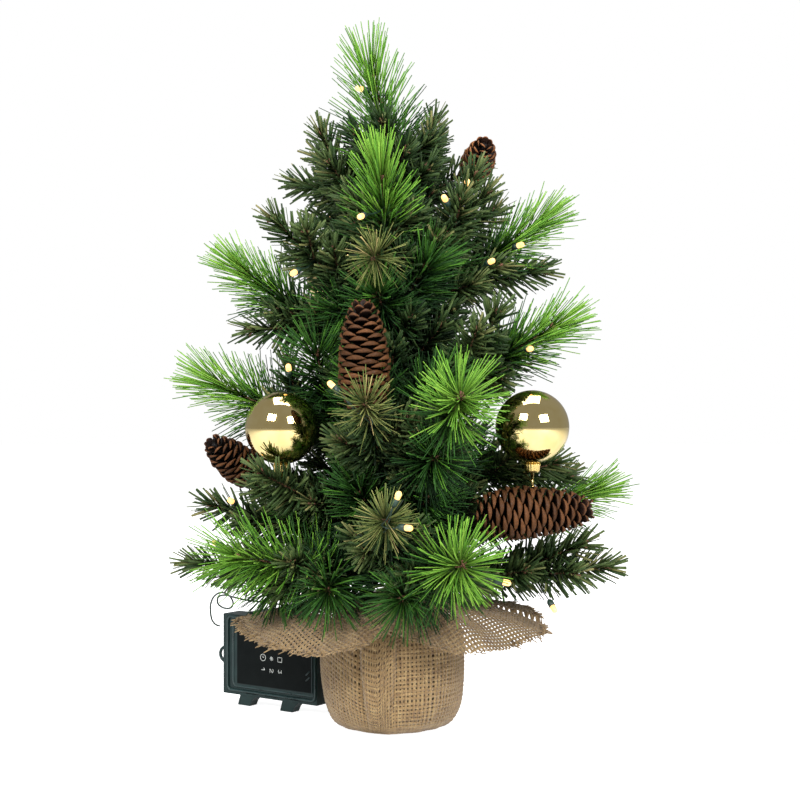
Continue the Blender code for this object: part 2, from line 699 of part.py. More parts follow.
def build_insides(place):
    sleeve = material("cell_sleeve", (0.05, 0.05, 0.06), 0.4)
    middle = (BOX_BOTTOM + BOX_TOP) / 2
    right = CELL_LEFT + CELL_LENGTH
    for i in range(3):
        height = middle + (i - 1) * 2 * (CELL_RADIUS + GAP)
        cell = rod_mesh((CELL_LEFT, CELL_Y, height), (right, CELL_Y, height), CELL_RADIUS)
        from_bmesh(f"battery_cell_{i + 1}", cell, sleeve, place, smooth=True)
    spring = material("contact_plate", (0.6, 0.6, 0.58), 0.3, 1.0)
    reach = 3 * CELL_RADIUS - 0.00075
    plate = box_mesh((right + GAP, 0.006, middle - reach),
                     (right + GAP + CONTACT_THICK, 0.019, middle + reach))
    from_bmesh("contact_plate", plate, spring, place)
    board = material("circuit_board", (0.02, 0.12, 0.05), 0.5)
    from_bmesh("circuit_board", box_mesh(BOARD_LOW, BOARD_HIGH), board, place)


def build_fittings(place, dark):
    """The mode switch, the latches, the lead's gland and the hanging loop."""
    wide, deep, high = (size / 2 for size in SWITCH_KNOB)
    knob = box_mesh((SWITCH_X - wide, -deep, SWITCH_Z - high),
                    (SWITCH_X + wide, deep, SWITCH_Z + high))
    from_bmesh("mode_switch", knob, material("switch_knob", (0.02, 0.03, 0.03), 0.4), place)
    for side, middle in zip(("left", "right"), LATCH_X):
        pivot = joint_empty(f"latch_hinge_{side}", place, (middle, *LATCH_PIVOT))
        latch = box_mesh((-LATCH_HALF, -LATCH_TAIL, -LATCH_HALF_THICK),
                         (LATCH_HALF, LATCH_REACH, LATCH_HALF_THICK))
        from_bmesh(f"latch_{side}", latch, dark, pivot)
    left = -BOX_WIDTH / 2 - GAP
    gland = rod_mesh((left, *GLAND_PLACE), (left - GLAND_LENGTH, *GLAND_PLACE), *GLAND_RADII)
    from_bmesh("cable_gland", gland, dark, place, smooth=True)
    build_loop(place, dark, left)


def build_loop(place, dark, left):
    """The half ring on the case's side that the box hangs by."""
    depth, height = LOOP_PLACE
    middle = left - 0.0057
    turns = [math.pi * i / 10 for i in range(11)]
    bend = [(middle - LOOP_RADIUS * math.sin(a), depth, height - LOOP_RADIUS * math.cos(a))
            for a in turns]
    ends = [(left, depth, height - LOOP_RADIUS), (left, depth, height + LOOP_RADIUS)]
    tube("hanging_loop", [ends[0], *bend, ends[1]], LOOP_WIRE, dark, place)


# ---------------------------------------------------------------- the whole tree

clear_scene()
tree = new_collection("tabletop_tree")
cutters = new_collection("cutters")
build_base()
build_trunk()
build_branches()
build_cones()
build_baubles()
build_picks()
build_box()
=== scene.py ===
"""Looks of the tabletop tree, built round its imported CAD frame. Metres, +Z up."""

import json
from math import copysign, cos, pi, radians, sin, sqrt, tau

import bpy
import numpy as np
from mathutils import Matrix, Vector

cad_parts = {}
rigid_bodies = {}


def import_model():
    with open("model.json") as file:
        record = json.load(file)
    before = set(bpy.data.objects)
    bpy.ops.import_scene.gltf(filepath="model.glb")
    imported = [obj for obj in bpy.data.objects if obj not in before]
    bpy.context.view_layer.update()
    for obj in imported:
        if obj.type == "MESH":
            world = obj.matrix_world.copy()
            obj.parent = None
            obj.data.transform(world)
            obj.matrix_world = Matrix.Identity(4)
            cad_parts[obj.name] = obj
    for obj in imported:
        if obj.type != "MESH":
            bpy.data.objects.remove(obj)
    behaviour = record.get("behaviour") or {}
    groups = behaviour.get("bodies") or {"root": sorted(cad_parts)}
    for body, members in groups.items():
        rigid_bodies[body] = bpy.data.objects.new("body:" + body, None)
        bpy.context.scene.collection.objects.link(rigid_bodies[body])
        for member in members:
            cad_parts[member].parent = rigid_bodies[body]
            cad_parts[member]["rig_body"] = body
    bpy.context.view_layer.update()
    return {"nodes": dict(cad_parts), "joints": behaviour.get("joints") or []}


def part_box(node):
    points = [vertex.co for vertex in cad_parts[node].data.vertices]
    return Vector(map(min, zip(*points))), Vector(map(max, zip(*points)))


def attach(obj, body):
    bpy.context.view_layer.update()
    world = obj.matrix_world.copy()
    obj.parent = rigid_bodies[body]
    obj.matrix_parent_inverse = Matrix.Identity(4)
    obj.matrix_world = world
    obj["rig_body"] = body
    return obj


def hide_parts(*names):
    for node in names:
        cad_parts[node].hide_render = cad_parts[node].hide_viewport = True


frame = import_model()

# ---- sizes

SEED = 7

# camera
EYE = (0.0064, -1.3000, 0.2750)
LENS = 68.7             # mm, on a 36 mm sensor

# free lead from the battery box to the foot of the trunk, as in part.py
LEAD_ROUTE = (
    (-0.1606, 0.1130, 0.0660), (-0.1645, 0.1154, 0.0668), (-0.1680, 0.1160, 0.0710),
    (-0.1690, 0.1140, 0.0780), (-0.1685, 0.1100, 0.0865), (-0.1645, 0.1050, 0.0945),
    (-0.1575, 0.1000, 0.0985), (-0.1500, 0.0955, 0.0965), (-0.1460, 0.0945, 0.0900),
    (-0.1485, 0.0970, 0.0848), (-0.1550, 0.1000, 0.0843), (-0.1605, 0.1000, 0.0880),
    (-0.1600, 0.0965, 0.0945), (-0.1535, 0.0915, 0.0972), (-0.1426, 0.0895, 0.0950),
    (-0.1341, 0.0968, 0.0920), (-0.1223, 0.1032, 0.0895), (-0.1091, 0.1013, 0.0880),
    (-0.0954, 0.0929, 0.0880), (-0.0812, 0.0818, 0.0900), (-0.0682, 0.0689, 0.0935),
    (-0.0557, 0.0554, 0.1005), (-0.0430, 0.0420, 0.1065), (-0.0310, 0.0300, 0.1110),
    (-0.0200, 0.0180, 0.1140), (-0.0120, 0.0075, 0.1170), (-0.0065, 0.0031, 0.1192),
)
LEAD_DIAMETER = 0.0016

# needles of each kind of tip
RIBBON_LENGTH = 0.0240
RIBBON_WIDTH = 0.0022
RIBBON_THICK = 0.0005
PINE_LENGTH = 0.0430
PINE_WIDTH = 0.0010
SPRIG_LENGTH = 0.0290
SPRIG_WIDTH = 0.00085
SPRIG_NEEDLES = 130
SPRIG_REACH = 0.026     # how far down the stem they start
RIBBONS_PER_METRE = 1800
RIBBON_LEAN = (68, 40)  # degrees off the stem, and how far they close at its tip
STEM_RADIUS = 0.0012
LEADER_RADIUS = 0.0022
SIDE_TIP_PAST = 0.010   # how far foliage reaches past the stem of a side tip
SHOOT_SPACING = 0.030   # side shoots along a branch
SHOOT_LENGTHS = (0.030, 0.044)
SHOOT_ANGLES = (38, 50)         # degrees off the branch
PINE_BRIGHT = 0.74      # middle shade of a pine head, from 0 to 1
GOLDEN_TURN = radians(137.508)

# pine heads: degrees off the stem of their lowest and highest needles, how far down the stem
# they reach, and the length of a needle against PINE_LENGTH
PINE_SPLAY = {
    "pine_mid_front": (88, 56, 0.026, 1.0),
    "pine_low_front": (88, 56, 0.030, 1.0),
    "pine_upper_front": (62, 13, 0.050, 1.04),
    "pine_low_left": (84, 36, 0.085, 1.10),
    "pine_mid_left": (62, 24, 0.060, 1.12),
    "leader": (64, 24, 0.105, 1.22),
}
USUAL_SPLAY = (52, 20, 0.055, 1.0)
SHADE_SPLAY = (80, 40, 0.040, 1.0)
INNER_SPLAY = (70, 35, 0.045, 1.0)

# ends of the stems whose heads face the front
STEM_TIPS = {
    "pine_mid_front": (0.053, -0.135, 0.277),
    "pine_low_front": (0.053, -0.138, 0.149),
    "sprig_front_mid": (-0.0205, -0.131, 0.273),
    "sprig_front_low": (-0.005, -0.139, 0.184),
    "leader": (-0.018, 0.0, 0.549),
}

# tips that leave a branch on the way, by branch: (share of the way along, kind, tip)
SIDE_TIPS = {
    "fir_top_left": [(0.45, "fir", (-0.093, 0.030, 0.467))],
    "fir_top_right": [(0.20, "fir", (0.080, 0.030, 0.482))],
    "fir_upper_right": [(0.40, "fir", (0.095, 0.006, 0.442)),
                        (0.45, "fir", (0.0735, -0.024, 0.474))],
    "pine_upper_right": [(0.30, "fir", (0.139, 0.020, 0.389))],
    "pine_mid_right": [(0.45, "fir", (0.088, -0.070, 0.354)),
                       (0.35, "fir", (0.071, -0.080, 0.336))],
    "fir_bottom_right": [(0.50, "fir", (0.167, -0.040, 0.160))],
    "fir_right_mid": [(0.55, "fir", (0.161, 0.012, 0.210))],
    "fir_left_front": [(0.45, "fir", (-0.113, -0.078, 0.221))],
    "pine_upper_left": [(0.45, "fir", (-0.129, -0.015, 0.334))],
    "pine_upper_front": [(0.35, "sprig", (-0.017, -0.090, 0.386))],
    "pine_mid_left": [(0.50, "fir", (-0.089, -0.014, 0.314)),
                      (0.30, "shade", (-0.064, -0.035, 0.322))],
    "pine_mid_front": [(0.45, "shade", (0.036, -0.108, 0.232))],
    "pine_low_left": [(0.35, "shade", (-0.052, -0.085, 0.120))],
    "pine_low_front": [(0.40, "shade", (0.006, -0.112, 0.116))],
    "fir_bottom_left": [(0.50, "shade", (-0.096, -0.038, 0.118))],
}

# pinecones, as in part.py: (middle of the base, tip, largest radius)
CONES = {
    "cone_front": ((-0.021, -0.098, 0.270), (-0.023, -0.108, 0.352), 0.0210),
    "cone_right": ((0.072, -0.074, 0.183), (0.161, -0.071, 0.187), 0.0215),
    "cone_left": ((-0.118, -0.002, 0.210), (-0.150, -0.036, 0.240), 0.0170),
    "cone_top": ((0.070, 0.038, 0.473), (0.079, -0.004, 0.493), 0.0150),
    "cone_back": ((0.036, 0.112, 0.205), (0.052, 0.168, 0.222), 0.0200),
}
# radius along a cone against its largest, a little fuller than the CAD core's
CONE_PROFILE = (
    (0.0, 0.40), (0.10, 0.80), (0.25, 1.0), (0.45, 1.0), (0.70, 0.86), (0.88, 0.60), (1.0, 0.22),
)
CONE_SCALES = 126       # on a cone FULL_CONE long
FULL_CONE = 0.082
CONE_TILT = ((0, 0.15, 0.6, 0.85, 1.0), (105, 86, 74, 52, 16))      # of a scale, base to tip
CONE_CORE = 0.42        # radius of the core against the cone's
SCALE_ROOT = 0.34       # where scales start, against the cone's radius

# baubles
BAUBLE_WALL = 0.001
BAUBLE_MOUTH = 0.135    # half angle of the opening, in radians
CAP_SEAT = 0.0065       # radius at which the cap meets the ball
CAP_CRIMPS = 18
CAP_PROFILE = (         # radius, and depth under the seat
    (0.0059, 0.0), (0.0066, 0.0003), (0.0068, 0.0012), (0.0062, 0.0022), (0.0061, 0.0058),
    (0.0055, 0.0070), (0.0030, 0.0076), (0.0013, 0.0080), (0.0012, 0.0130), (0.0001, 0.0132),
)

# wire picks, as in part.py: decoration to (branch, share of the way along, bends on the way)
PICKS = {
    "cone_front": ("sprig_front_mid", 0.72, ()),
    "cone_right": ("fir_right_mid", 0.45, ((0.062, -0.060, 0.188),)),
    "cone_left": ("fir_left_front", 0.82, ((-0.108, -0.004, 0.200),)),
    "cone_top": ("fir_upper_right", 0.80, ((0.066, 0.038, 0.455),)),
    "cone_back": ("pine_back_low_right", 0.60, ((0.034, 0.104, 0.190),)),
    "bauble_cap_right": ("fir_right_mid", 0.72, ((0.114, -0.054, 0.2070),)),
    "bauble_cap_back": ("pine_back_left", 0.75, ()),
}
PICK_RADIUS = 0.0009

# lamps of the light string: the middle of each, by branch
LAMPS = {
    "leader": [(-0.028, -0.010, 0.538)],
    "pine_upper_front": [(-0.025, -0.085, 0.421)],
    "fir_upper_right": [(0.043, -0.045, 0.441), (0.063, -0.022, 0.457)],
    "fir_upper_left": [(-0.080, -0.062, 0.378)],
    "pine_upper_right": [(0.109, 0.000, 0.407), (0.083, -0.025, 0.391)],
    "pine_mid_left": [(-0.086, -0.035, 0.302)],
    "sprig_front_mid": [(-0.047, -0.115, 0.287)],
    "pine_mid_right": [(0.113, -0.050, 0.317)],
    "fir_low_left": [(-0.135, -0.025, 0.191)],
    "pine_low_left": [(-0.146, -0.040, 0.157)],
    "sprig_front_low": [(0.005, -0.148, 0.203), (0.013, -0.156, 0.179)],
    "pine_low_front": [(0.088, -0.130, 0.135)],
    "fir_bottom_right": [(0.133, -0.045, 0.103)],
    "pine_back_upper": [(0.040, 0.105, 0.400)],
    "pine_back_left": [(-0.070, 0.125, 0.290)],
    "fir_back_right": [(0.103, 0.113, 0.307)],
    "fir_back_low_left": [(-0.095, 0.130, 0.185)],
    "fir_back_upper_left": [(-0.055, 0.070, 0.440)],
    "pine_back_low_right": [(0.075, 0.140, 0.150)],
}
LAMP_RADIUS = 0.0024
LAMP_LENGTH = 0.0065
SOCKET_RADIUS = 0.0027
SOCKET_LENGTH = 0.0070
LAMP_WIRE = 0.0005      # radius
WIRE_ORBIT = 0.0022     # of the two wires round a branch
WIRE_TURNS = 3
LEADER_CORE = (0.0, 0.0, 0.505), (-0.005, 0.0, 0.57)    # what the top lamp's wires wind round

# burlap
WEAVE = 0.0034          # from one thread to the next
WEAVE_RELIEF = 0.00050
CROSSING = np.array([   # heights where the upright thread goes over, against WEAVE_RELIEF
    [-0.5, 0.55, -0.5], [-0.35, 1.0, -0.35], [-0.5, 0.55, -0.5],
])
BURLAP_SHADES = (
    (0.36, (0.240, 0.130, 0.047)), (0.50, (0.435, 0.272, 0.105)), (0.66, (0.610, 0.425, 0.185)),
)
THREAD_COLUMNS = np.array([0.0, 0.315, 0.63])    # left, middle and right of a thread, then a gap
OPEN_THREAD_COLUMNS = np.array([0.0, 0.27, 0.54])
SACK_OUTLINE = (
    (0.0312, 0.1075), (0.0318, 0.1015), (0.0400, 0.0965), (0.0530, 0.0885), (0.0597, 0.0765),
    (0.0612, 0.0560), (0.0603, 0.0360), (0.0577, 0.0180), (0.0528, 0.0068), (0.0468, 0.0015),
    (0.0430, 0.0002),
)
PLEAT_TURN = radians(-101)     # azimuth of the pleat in front
PLEAT_WIDTHS = (0.140, 0.032)       # to its left and right, in turns
PLEAT_SAG = 0.22        # how far the rows of threads drop at the pleat, against the sack's depth
THREAD_RADIUS = 0.0605  # radius at which the sack's upright threads are a weave apart
SACK_ROWS = 36
SACK_THICK = 0.0012
COLLAR_THICK = 0.0008
COLLAR_THREADS = 40     # each way from the middle
FRINGE_THREADS = 560
COLLAR_STEPS = 48
COLLAR_DROOP = 1.6
COLLAR_LATTICE_TURN = radians(38)
COLLAR_CURL = 0.012     # how far the right flap's far corner curls up
CURL_TURN = radians(18)
HEM_TURNS = (285, 342)  # azimuths of the one stretch of edge that is hardly frayed
TIE_STRAND = 0.00105    # radius
TIE_ORBIT = 0.0009      # of the strands round the cord's middle
TIE_TWISTS = 34

# battery box, as in part.py
BOX_PLACE = (-0.110, 0.058, 0.0)
BOX_YAW = radians(-35)
BOX_ALONG = BOX_PLACE[0] * cos(BOX_YAW) + BOX_PLACE[1] * sin(BOX_YAW)
CASE_BEADS = ((-0.0480, 0.0130, 0.0525, 0.0790), (-0.0410, 0.0172, 0.0515, 0.0770))
BEAD_CORNER = 0.0040
BEAD_DEPTH = -0.0010    # of the beads' middle lines, from the case's front wall
BEAD_RADIUS = 0.0010
RIB_RADIUS = 0.0006
RIB_ENDS = (0.0440, 0.0485)         # along the box
RIB_HEIGHTS = (0.0300, 0.0350)
MARK_RADIUS = 0.00024
EDGE_ROUND = 0.0004     # of the case's moulded edges
PANEL_MIDDLE = (0.0075, 0.0450)     # along the box and up
PANEL_HALF = (0.0425, 0.0250)
PANEL_FACE = -0.00305   # where the signs lie; 0 is the case's front wall, and less is nearer
CELL_START = -0.0500    # left ends of the cells, along the box from its middle
CELL_LENGTH = 0.0505

# inner shoots round the trunk
INNER_HEIGHTS = (0.120, 0.488)
INNER_SHOOTS = 84

# area lights: (name, place, size, power)
LIGHTS = (
    ("key", (-1.10, -1.70, 1.50), (1.0, 0.8), 62.0),
    ("fill", (1.20, -1.60, 1.20), (1.0, 0.8), 48.0),
    ("top", (0.0, 0.3, 2.2), (1.4, 1.4), 42.0),
)
SURROUND_GLOW = 0.30    # what the white surround gives the tree
FLOOR_GLOW = (0.25, 0.90)       # for the tree, and for the camera
FLOOR_HALF = 8.0


# ---- finishes

class Finish:
    """A Principled material, with short ways to drive it from nodes."""

    def __init__(self, name, colour, roughness, metallic=0.0, **sockets):
        self.material = bpy.data.materials.new(name)
        self.material.use_nodes = True
        self.tree = self.material.node_tree
        self.shader = self.tree.nodes["Principled BSDF"]
        plain = {"Base Color": (*colour, 1.0), "Roughness": roughness, "Metallic": metallic}
        for socket, value in {**plain, **sockets}.items():
            self.shader.inputs[socket].default_value = value

    def node(self, kind, inputs=None, out=0, **settings):
        """Adds a node, and gives back one output; an input is a value, or such an output."""
        made = self.tree.nodes.new("ShaderNode" + kind)
        for key, value in settings.items():
            setattr(made, key, value)
        for socket, value in (inputs or {}).items():
            if isinstance(value, bpy.types.NodeSocket):
                self.tree.links.new(value, made.inputs[socket])
            else:
                made.inputs[socket].default_value = value
        return made.outputs[out]

    def remap(self, factor, start, end, low=0.0, high=1.0):
        """Takes start to end over to low to high."""
        return self.node("MapRange", {"Value": factor, "From Min": start, "From Max": end,
                                      "To Min": low, "To Max": high})

    def place(self, stretch=(1.0, 1.0, 1.0), turn=(0.0, 0.0, 0.0), shift=(0.0, 0.0, 0.0)):
        """Coordinates in metres, fixed to the piece."""
        return self.node("Mapping", {"Vector": self.node("TexCoord", out="Object"),
                                     "Scale": stretch, "Rotation": turn, "Location": shift})

    def uv(self, name="needle"):
        return self.node("UVMap", uv_map=name)

    def split(self, vector):
        return self.node("SeparateXYZ", {"Vector": vector}).node.outputs

    def noise(self, size, detail=3.0, spot=None):
        """Soft noise whose features are about size metres across."""
        spot = self.place() if spot is None else spot
        inputs = {"Vector": spot, "Scale": 1.0 / size, "Detail": detail}
        return self.node("TexNoise", inputs, "Fac")

    def ramp(self, factor, *stops):
        """Colours, or greys, at the named places from 0 to 1."""
        colour = self.node("ValToRGB", {"Fac": factor}, "Color")
        marks = colour.node.color_ramp.elements
        while len(marks) < len(stops):
            marks.new(0.5)
        for mark, (at, tone) in zip(marks, stops):
            mark.position = at
            mark.color = (*tone, 1.0) if hasattr(tone, "__len__") else (tone, tone, tone, 1.0)
        return colour

    def mix(self, factor, low, high, blend="MIX"):
        inputs = {0: factor, 6: low, 7: high}       # 6 and 7 are its colours
        return self.node("Mix", inputs, 2, data_type="RGBA", blend_type=blend)

    def times(self, colour, shade):
        return self.mix(1.0, colour, shade, "MULTIPLY")

    def drive(self, socket, output):
        self.tree.links.new(output, self.shader.inputs[socket])
        return self

    def tint(self, factor, *stops):
        return self.drive("Base Color", self.ramp(factor, *stops))

    def gloss(self, factor, low, high):
        """Roughness from low to high."""
        return self.drive("Roughness", self.ramp(factor, (0.3, low), (0.7, high)))

    def bump(self, height, depth, strength=1.0):
        inputs = {"Height": height, "Distance": depth, "Strength": strength}
        return self.drive("Normal", self.node("Bump", inputs))


def needle_finish(name, roughness, ends, *shades):
    """Colour runs along each needle, and its second map value picks the shade."""
    made = Finish(name, shades[0][1], roughness, **{"Specular IOR Level": 0.10})
    along, shade, _ = made.split(made.uv())
    colour = made.times(made.ramp(shade, *shades), made.ramp(along, *ends))
    patch = made.ramp(made.noise(0.004), (0.30, 0.78), (0.70, 1.0))
    made.drive("Base Color", made.times(colour, patch))
    return made.gloss(made.noise(0.0015), roughness - 0.08, roughness + 0.10).material


def grained(name, roughness, size, detail, depth, *tones, stretch=(1.0, 1.0, 1.0)):
    """A grain that shows in colour and height alike: stems, trunk and plaster."""
    made = Finish(name, tones[0][1], roughness)
    grain = made.noise(size, detail, made.place(stretch))
    return made.tint(grain, *tones).bump(grain, depth).material


def foliage_finishes():
    """Materials in the order of STEM, FIR, PINE and SPRIG."""
    return [
        grained("stem_brown", 0.75, 0.0012, 3.0, 0.0004, (0.30, (0.050, 0.022, 0.012)),
                (0.55, (0.130, 0.055, 0.026)), (0.75, (0.260, 0.120, 0.055))),
        needle_finish("fir_ribbons", 0.40, ((0.0, 0.65), (0.7, 1.0)),
                      (0.0, (0.008, 0.017, 0.007)), (0.40, (0.026, 0.054, 0.016)),
                      (0.75, (0.082, 0.120, 0.038)), (1.0, (0.190, 0.175, 0.066))),
        needle_finish("pine_needles", 0.42, ((0.0, 0.50), (0.45, 0.95), (1.0, 1.0)),
                      (0.0, (0.010, 0.030, 0.010)), (0.30, (0.028, 0.092, 0.016)),
                      (0.62, (0.098, 0.262, 0.024)), (1.0, (0.245, 0.450, 0.058))),
        # sprig shades: olive with tan tips, their own colour, warmed further as painted lamp glow
        needle_finish("sprig_needles", 0.48, ((0.0, 0.45), (0.6, 0.95), (1.0, 1.0)),
                      (0.0, (0.030, 0.065, 0.018)), (0.45, (0.128, 0.162, 0.042)),
                      (0.80, (0.245, 0.252, 0.080)), (1.0, (0.400, 0.318, 0.132))),
    ]


def pinecone_brown(name, tone=1.0):
    """Dark in the gaps, as painted shade towards the scales' roots, with lighter orange edges on
    the scales.
    """
    made = Finish(name, (0.12, 0.04, 0.02), 0.55, **{"Specular IOR Level": 0.14})
    out, own, _ = made.split(made.uv())
    # painted shade: near black up to 0.75 of a scale's length, where the scales overlap; the
    # lighter ends are the scales' own colour
    edge = made.ramp(out, *((at, [c * tone for c in colour]) for at, colour in (
        (0.0, (0.004, 0.002, 0.0015)), (0.75, (0.012, 0.005, 0.003)),
        (0.93, (0.034, 0.012, 0.006)), (1.0, (0.135, 0.053, 0.018)))))
    grain = made.noise(0.0016, 5.0)
    patch = made.ramp(grain, (0.30, 0.55), (0.70, 1.0))
    each = made.ramp(own, (0.0, 0.45), (1.0, 1.0))
    made.drive("Base Color", made.times(made.times(edge, patch), each))
    return made.gloss(grain, 0.38, 0.66).bump(grain, 0.0005).material


def gold_mirror():
    made = Finish("gold_mirror", (0.86, 0.70, 0.33), 0.045, 1.0)
    haze = made.noise(0.012, 4.0)
    made.drive("Roughness", made.ramp(haze, (0.35, 0.025), (0.75, 0.085)))
    return made.tint(haze, (0.3, (0.88, 0.72, 0.35)), (0.7, (0.80, 0.62, 0.26))).material


def gold_cap():
    made = Finish("gold_cap", (0.80, 0.60, 0.22), 0.22, 1.0)
    grain = made.noise(0.0009, 4.0)
    return made.gloss(grain, 0.14, 0.36).bump(grain, 0.00015).material


def burlap(name, tone):
    """Jute: slubs run along the threads, and short fibres stand off them."""
    made = Finish(name, (0.42, 0.26, 0.12), 0.95, **{"Sheen Weight": 0.25, "Sheen Roughness": 0.6})
    streaks = []
    for stretch in ((0.22, 2.2, 1.0), (2.2, 0.22, 1.0)):
        spot = made.node("Mapping", {"Vector": made.uv("weave"), "Scale": stretch})
        streaks.append(made.noise(1.0, 3.0, spot))
    threads = made.mix(0.5, *streaks)
    colour = made.ramp(threads, *((at, [c * tone for c in shade]) for at, shade in BURLAP_SHADES))
    fibre = made.noise(0.0005, 4.0)
    made.drive("Base Color", made.times(colour, made.ramp(fibre, (0.32, 0.66), (0.66, 1.08))))
    return made.bump(fibre, 0.0005).material


def moulded_plastic(name, colour, roughness):
    """Injection-moulded plastic: fine grain, a little handling wear and dust."""
    made = Finish(name, colour, roughness)
    cloud = made.noise(0.018, 4.0)
    made.tint(cloud, (0.35, colour), (0.75, [c * 1.7 + 0.004 for c in colour]))
    made.gloss(cloud, roughness - 0.06, roughness + 0.12)
    return made.bump(made.noise(0.0006, 2.0), 0.00006, 0.6).material


def case_plastic():
    """Dark green plastic, with painted shade that makes the sunk front panel blacker, and less
    specular on that panel.
    """
    made = Finish("case_green", (0.006, 0.016, 0.016), 0.34, **{"Specular IOR Level": 0.22})
    middle = BOX_ALONG + PANEL_MIDDLE[0]
    along, _, up = made.split(made.place(turn=(0.0, 0.0, -BOX_YAW),
                                         shift=(-middle, 0.0, -PANEL_MIDDLE[1])))
    past = []
    for off, half in zip((along, up), PANEL_HALF):
        size = made.node("Math", {0: off}, operation="ABSOLUTE")
        past.append(made.node("Math", {0: size, 1: half}, operation="SUBTRACT"))
    outside = made.node("Math", {0: past[0], 1: past[1]}, operation="MAXIMUM")
    edge = made.remap(outside, -0.0003, 0.0003)
    cloud = made.noise(0.016, 4.0)
    shell = made.ramp(cloud, (0.35, (0.006, 0.017, 0.017)), (0.75, (0.014, 0.032, 0.031)))
    # painted shade: the panel's colour is far darker than the shell's
    panel = made.ramp(cloud, (0.35, (0.002, 0.0035, 0.0035)), (0.75, (0.005, 0.007, 0.007)))
    made.drive("Base Color", made.mix(edge, panel, shell)).gloss(cloud, 0.30, 0.46)
    made.drive("Specular IOR Level", made.remap(edge, 0.0, 1.0, 0.06, 0.26))
    return made.bump(made.noise(0.0006, 2.0), 0.00006, 0.6).material


def brushed_metal(name, colour, roughness):
    made = Finish(name, colour, roughness, 1.0)
    lines = made.noise(0.0006, 3.0, made.place((0.08, 1.0, 1.0)))
    return made.gloss(lines, roughness - 0.08, roughness + 0.12).bump(lines, 0.00004).material


def cell_sleeve():
    """A battery's printed sleeve: dark, with a copper-coloured end."""
    made = Finish("cell_sleeve", (0.03, 0.03, 0.035), 0.3)
    along = made.split(made.place(turn=(0.0, 0.0, -BOX_YAW)))["X"]
    start = BOX_ALONG + CELL_START
    share = made.remap(along, start, start + CELL_LENGTH)
    made.tint(share, (0.0, (0.50, 0.22, 0.08)), (0.30, (0.46, 0.20, 0.07)),
              (0.31, (0.03, 0.03, 0.035)), (1.0, (0.02, 0.02, 0.025)))
    return made.gloss(made.noise(0.006), 0.22, 0.38).material


def board_green():
    made = Finish("board_green", (0.02, 0.12, 0.05), 0.4)
    tracks = made.node("TexVoronoi", {"Vector": made.place(), "Scale": 400.0}, "Distance")
    made.tint(tracks, (0.30, (0.015, 0.10, 0.04)), (0.34, (0.05, 0.22, 0.09)))
    return made.bump(tracks, 0.0001).material


def lamp_glow():
    """Warm white, brighter in the middle of the lens."""
    made = Finish("lamp_glow", (0.60, 0.36, 0.10), 0.30, **{"Emission Strength": 1.7})
    patch = made.ramp(made.noise(0.004), (0.3, (1.0, 0.46, 0.12)), (0.6, (1.0, 0.64, 0.28)))
    made.drive("Emission Color", patch)
    return made.material


def floor_white():
    """Glows a little, and more for the camera, so that no horizon shows."""
    made = Finish("floor_white", (0.60, 0.60, 0.60), 0.9,
                  **{"Emission Color": (1.0, 1.0, 1.0, 1.0)})
    seen = made.node("LightPath", out="Is Camera Ray")
    return made.drive("Emission Strength", made.remap(seen, 0.0, 1.0, *FLOOR_GLOW)).material


# ---- mesh helpers

def array_mesh(name, points, polygons, maps=None, map_name="needle", slots=None, smooth=False):
    """A mesh from arrays.

    polygons is a list of (count, corners) index arrays, maps one (u, v) for each point, and
    slots one material number for each polygon.
    """
    mesh = bpy.data.meshes.new(name)
    mesh.vertices.add(len(points))
    mesh.vertices.foreach_set("co", np.asarray(points, np.float32).ravel())
    corners = np.concatenate([run.ravel() for run in polygons]).astype(np.int32)
    counts = np.concatenate([np.full(len(run), run.shape[1]) for run in polygons])
    mesh.loops.add(len(corners))
    mesh.loops.foreach_set("vertex_index", corners)
    mesh.polygons.add(len(counts))
    starts = np.concatenate([[0], counts.cumsum()[:-1]]).astype(np.int32)
    mesh.polygons.foreach_set("loop_start", starts)
    if slots is not None:
        mesh.polygons.foreach_set("material_index", np.asarray(slots, np.int32))
    if maps is not None:
        layer = mesh.uv_layers.new(name=map_name)
        layer.data.foreach_set("uv", np.asarray(maps, np.float32)[corners].ravel())
    mesh.update(calc_edges=True)
    mesh.validate()
    if smooth:
        mesh.shade_smooth()
    return mesh


def link(name, data, place=(0.0, 0.0, 0.0)):
    """Adds an object to the scene."""
    made = bpy.data.objects.new(name, data)
    made.location = place
    bpy.context.scene.collection.objects.link(made)
    return made


def add_piece(name, mesh, body, finishes, stands_for=()):
    """Adds an object that rides on a body, for the CAD nodes it replaces."""
    for finish in finishes:
        mesh.materials.append(finish)
    piece = link(name, mesh)
    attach(piece, body)
    if stands_for:
        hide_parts(*stands_for)
    return piece


def unit(vectors):
    return vectors / np.maximum(np.linalg.norm(vectors, axis=-1, keepdims=True), 1e-9)


def frame_round(along):
    """Two unit vectors across each direction."""
    along = unit(np.asarray(along, float))
    up = np.where(np.abs(along[..., 2:3]) > 0.9, [1.0, 0.0, 0.0], [0.0, 0.0, 1.0])
    side = unit(np.cross(along, up))
    return side, np.cross(along, side)


def smooth_points(route, count):
    """Evenly spaced points on a Catmull-Rom curve through a route."""
    points = np.array(route, float)
    ends = np.vstack([points[0] * 2 - points[1], points, points[-1] * 2 - points[-2]])
    t = np.linspace(0, 1, 12, endpoint=False)[:, None]
    dense = []
    for a, b, c, d in zip(ends, ends[1:], ends[2:], ends[3:]):
        dense.append(0.5 * (2 * b + (c - a) * t + (2 * a - 5 * b + 4 * c - d) * t ** 2
                            + (3 * b - a - 3 * c + d) * t ** 3))
    dense = np.vstack([*dense, points[-1:]])
    runs = np.concatenate([[0.0], np.linalg.norm(np.diff(dense, axis=0), axis=1).cumsum()])
    want = np.linspace(0, runs[-1], count)
    return np.stack([np.interp(want, runs, dense[:, i]) for i in range(3)], axis=1)


def ring_quads(rings, sides):
    """Quads that join each ring of points to the next."""
    step = np.arange(sides)
    after = (step + 1) % sides
    first = np.stack([step, after, sides + after, sides + step], axis=1)
    return np.vstack([first + ring * sides for ring in range(rings - 1)])


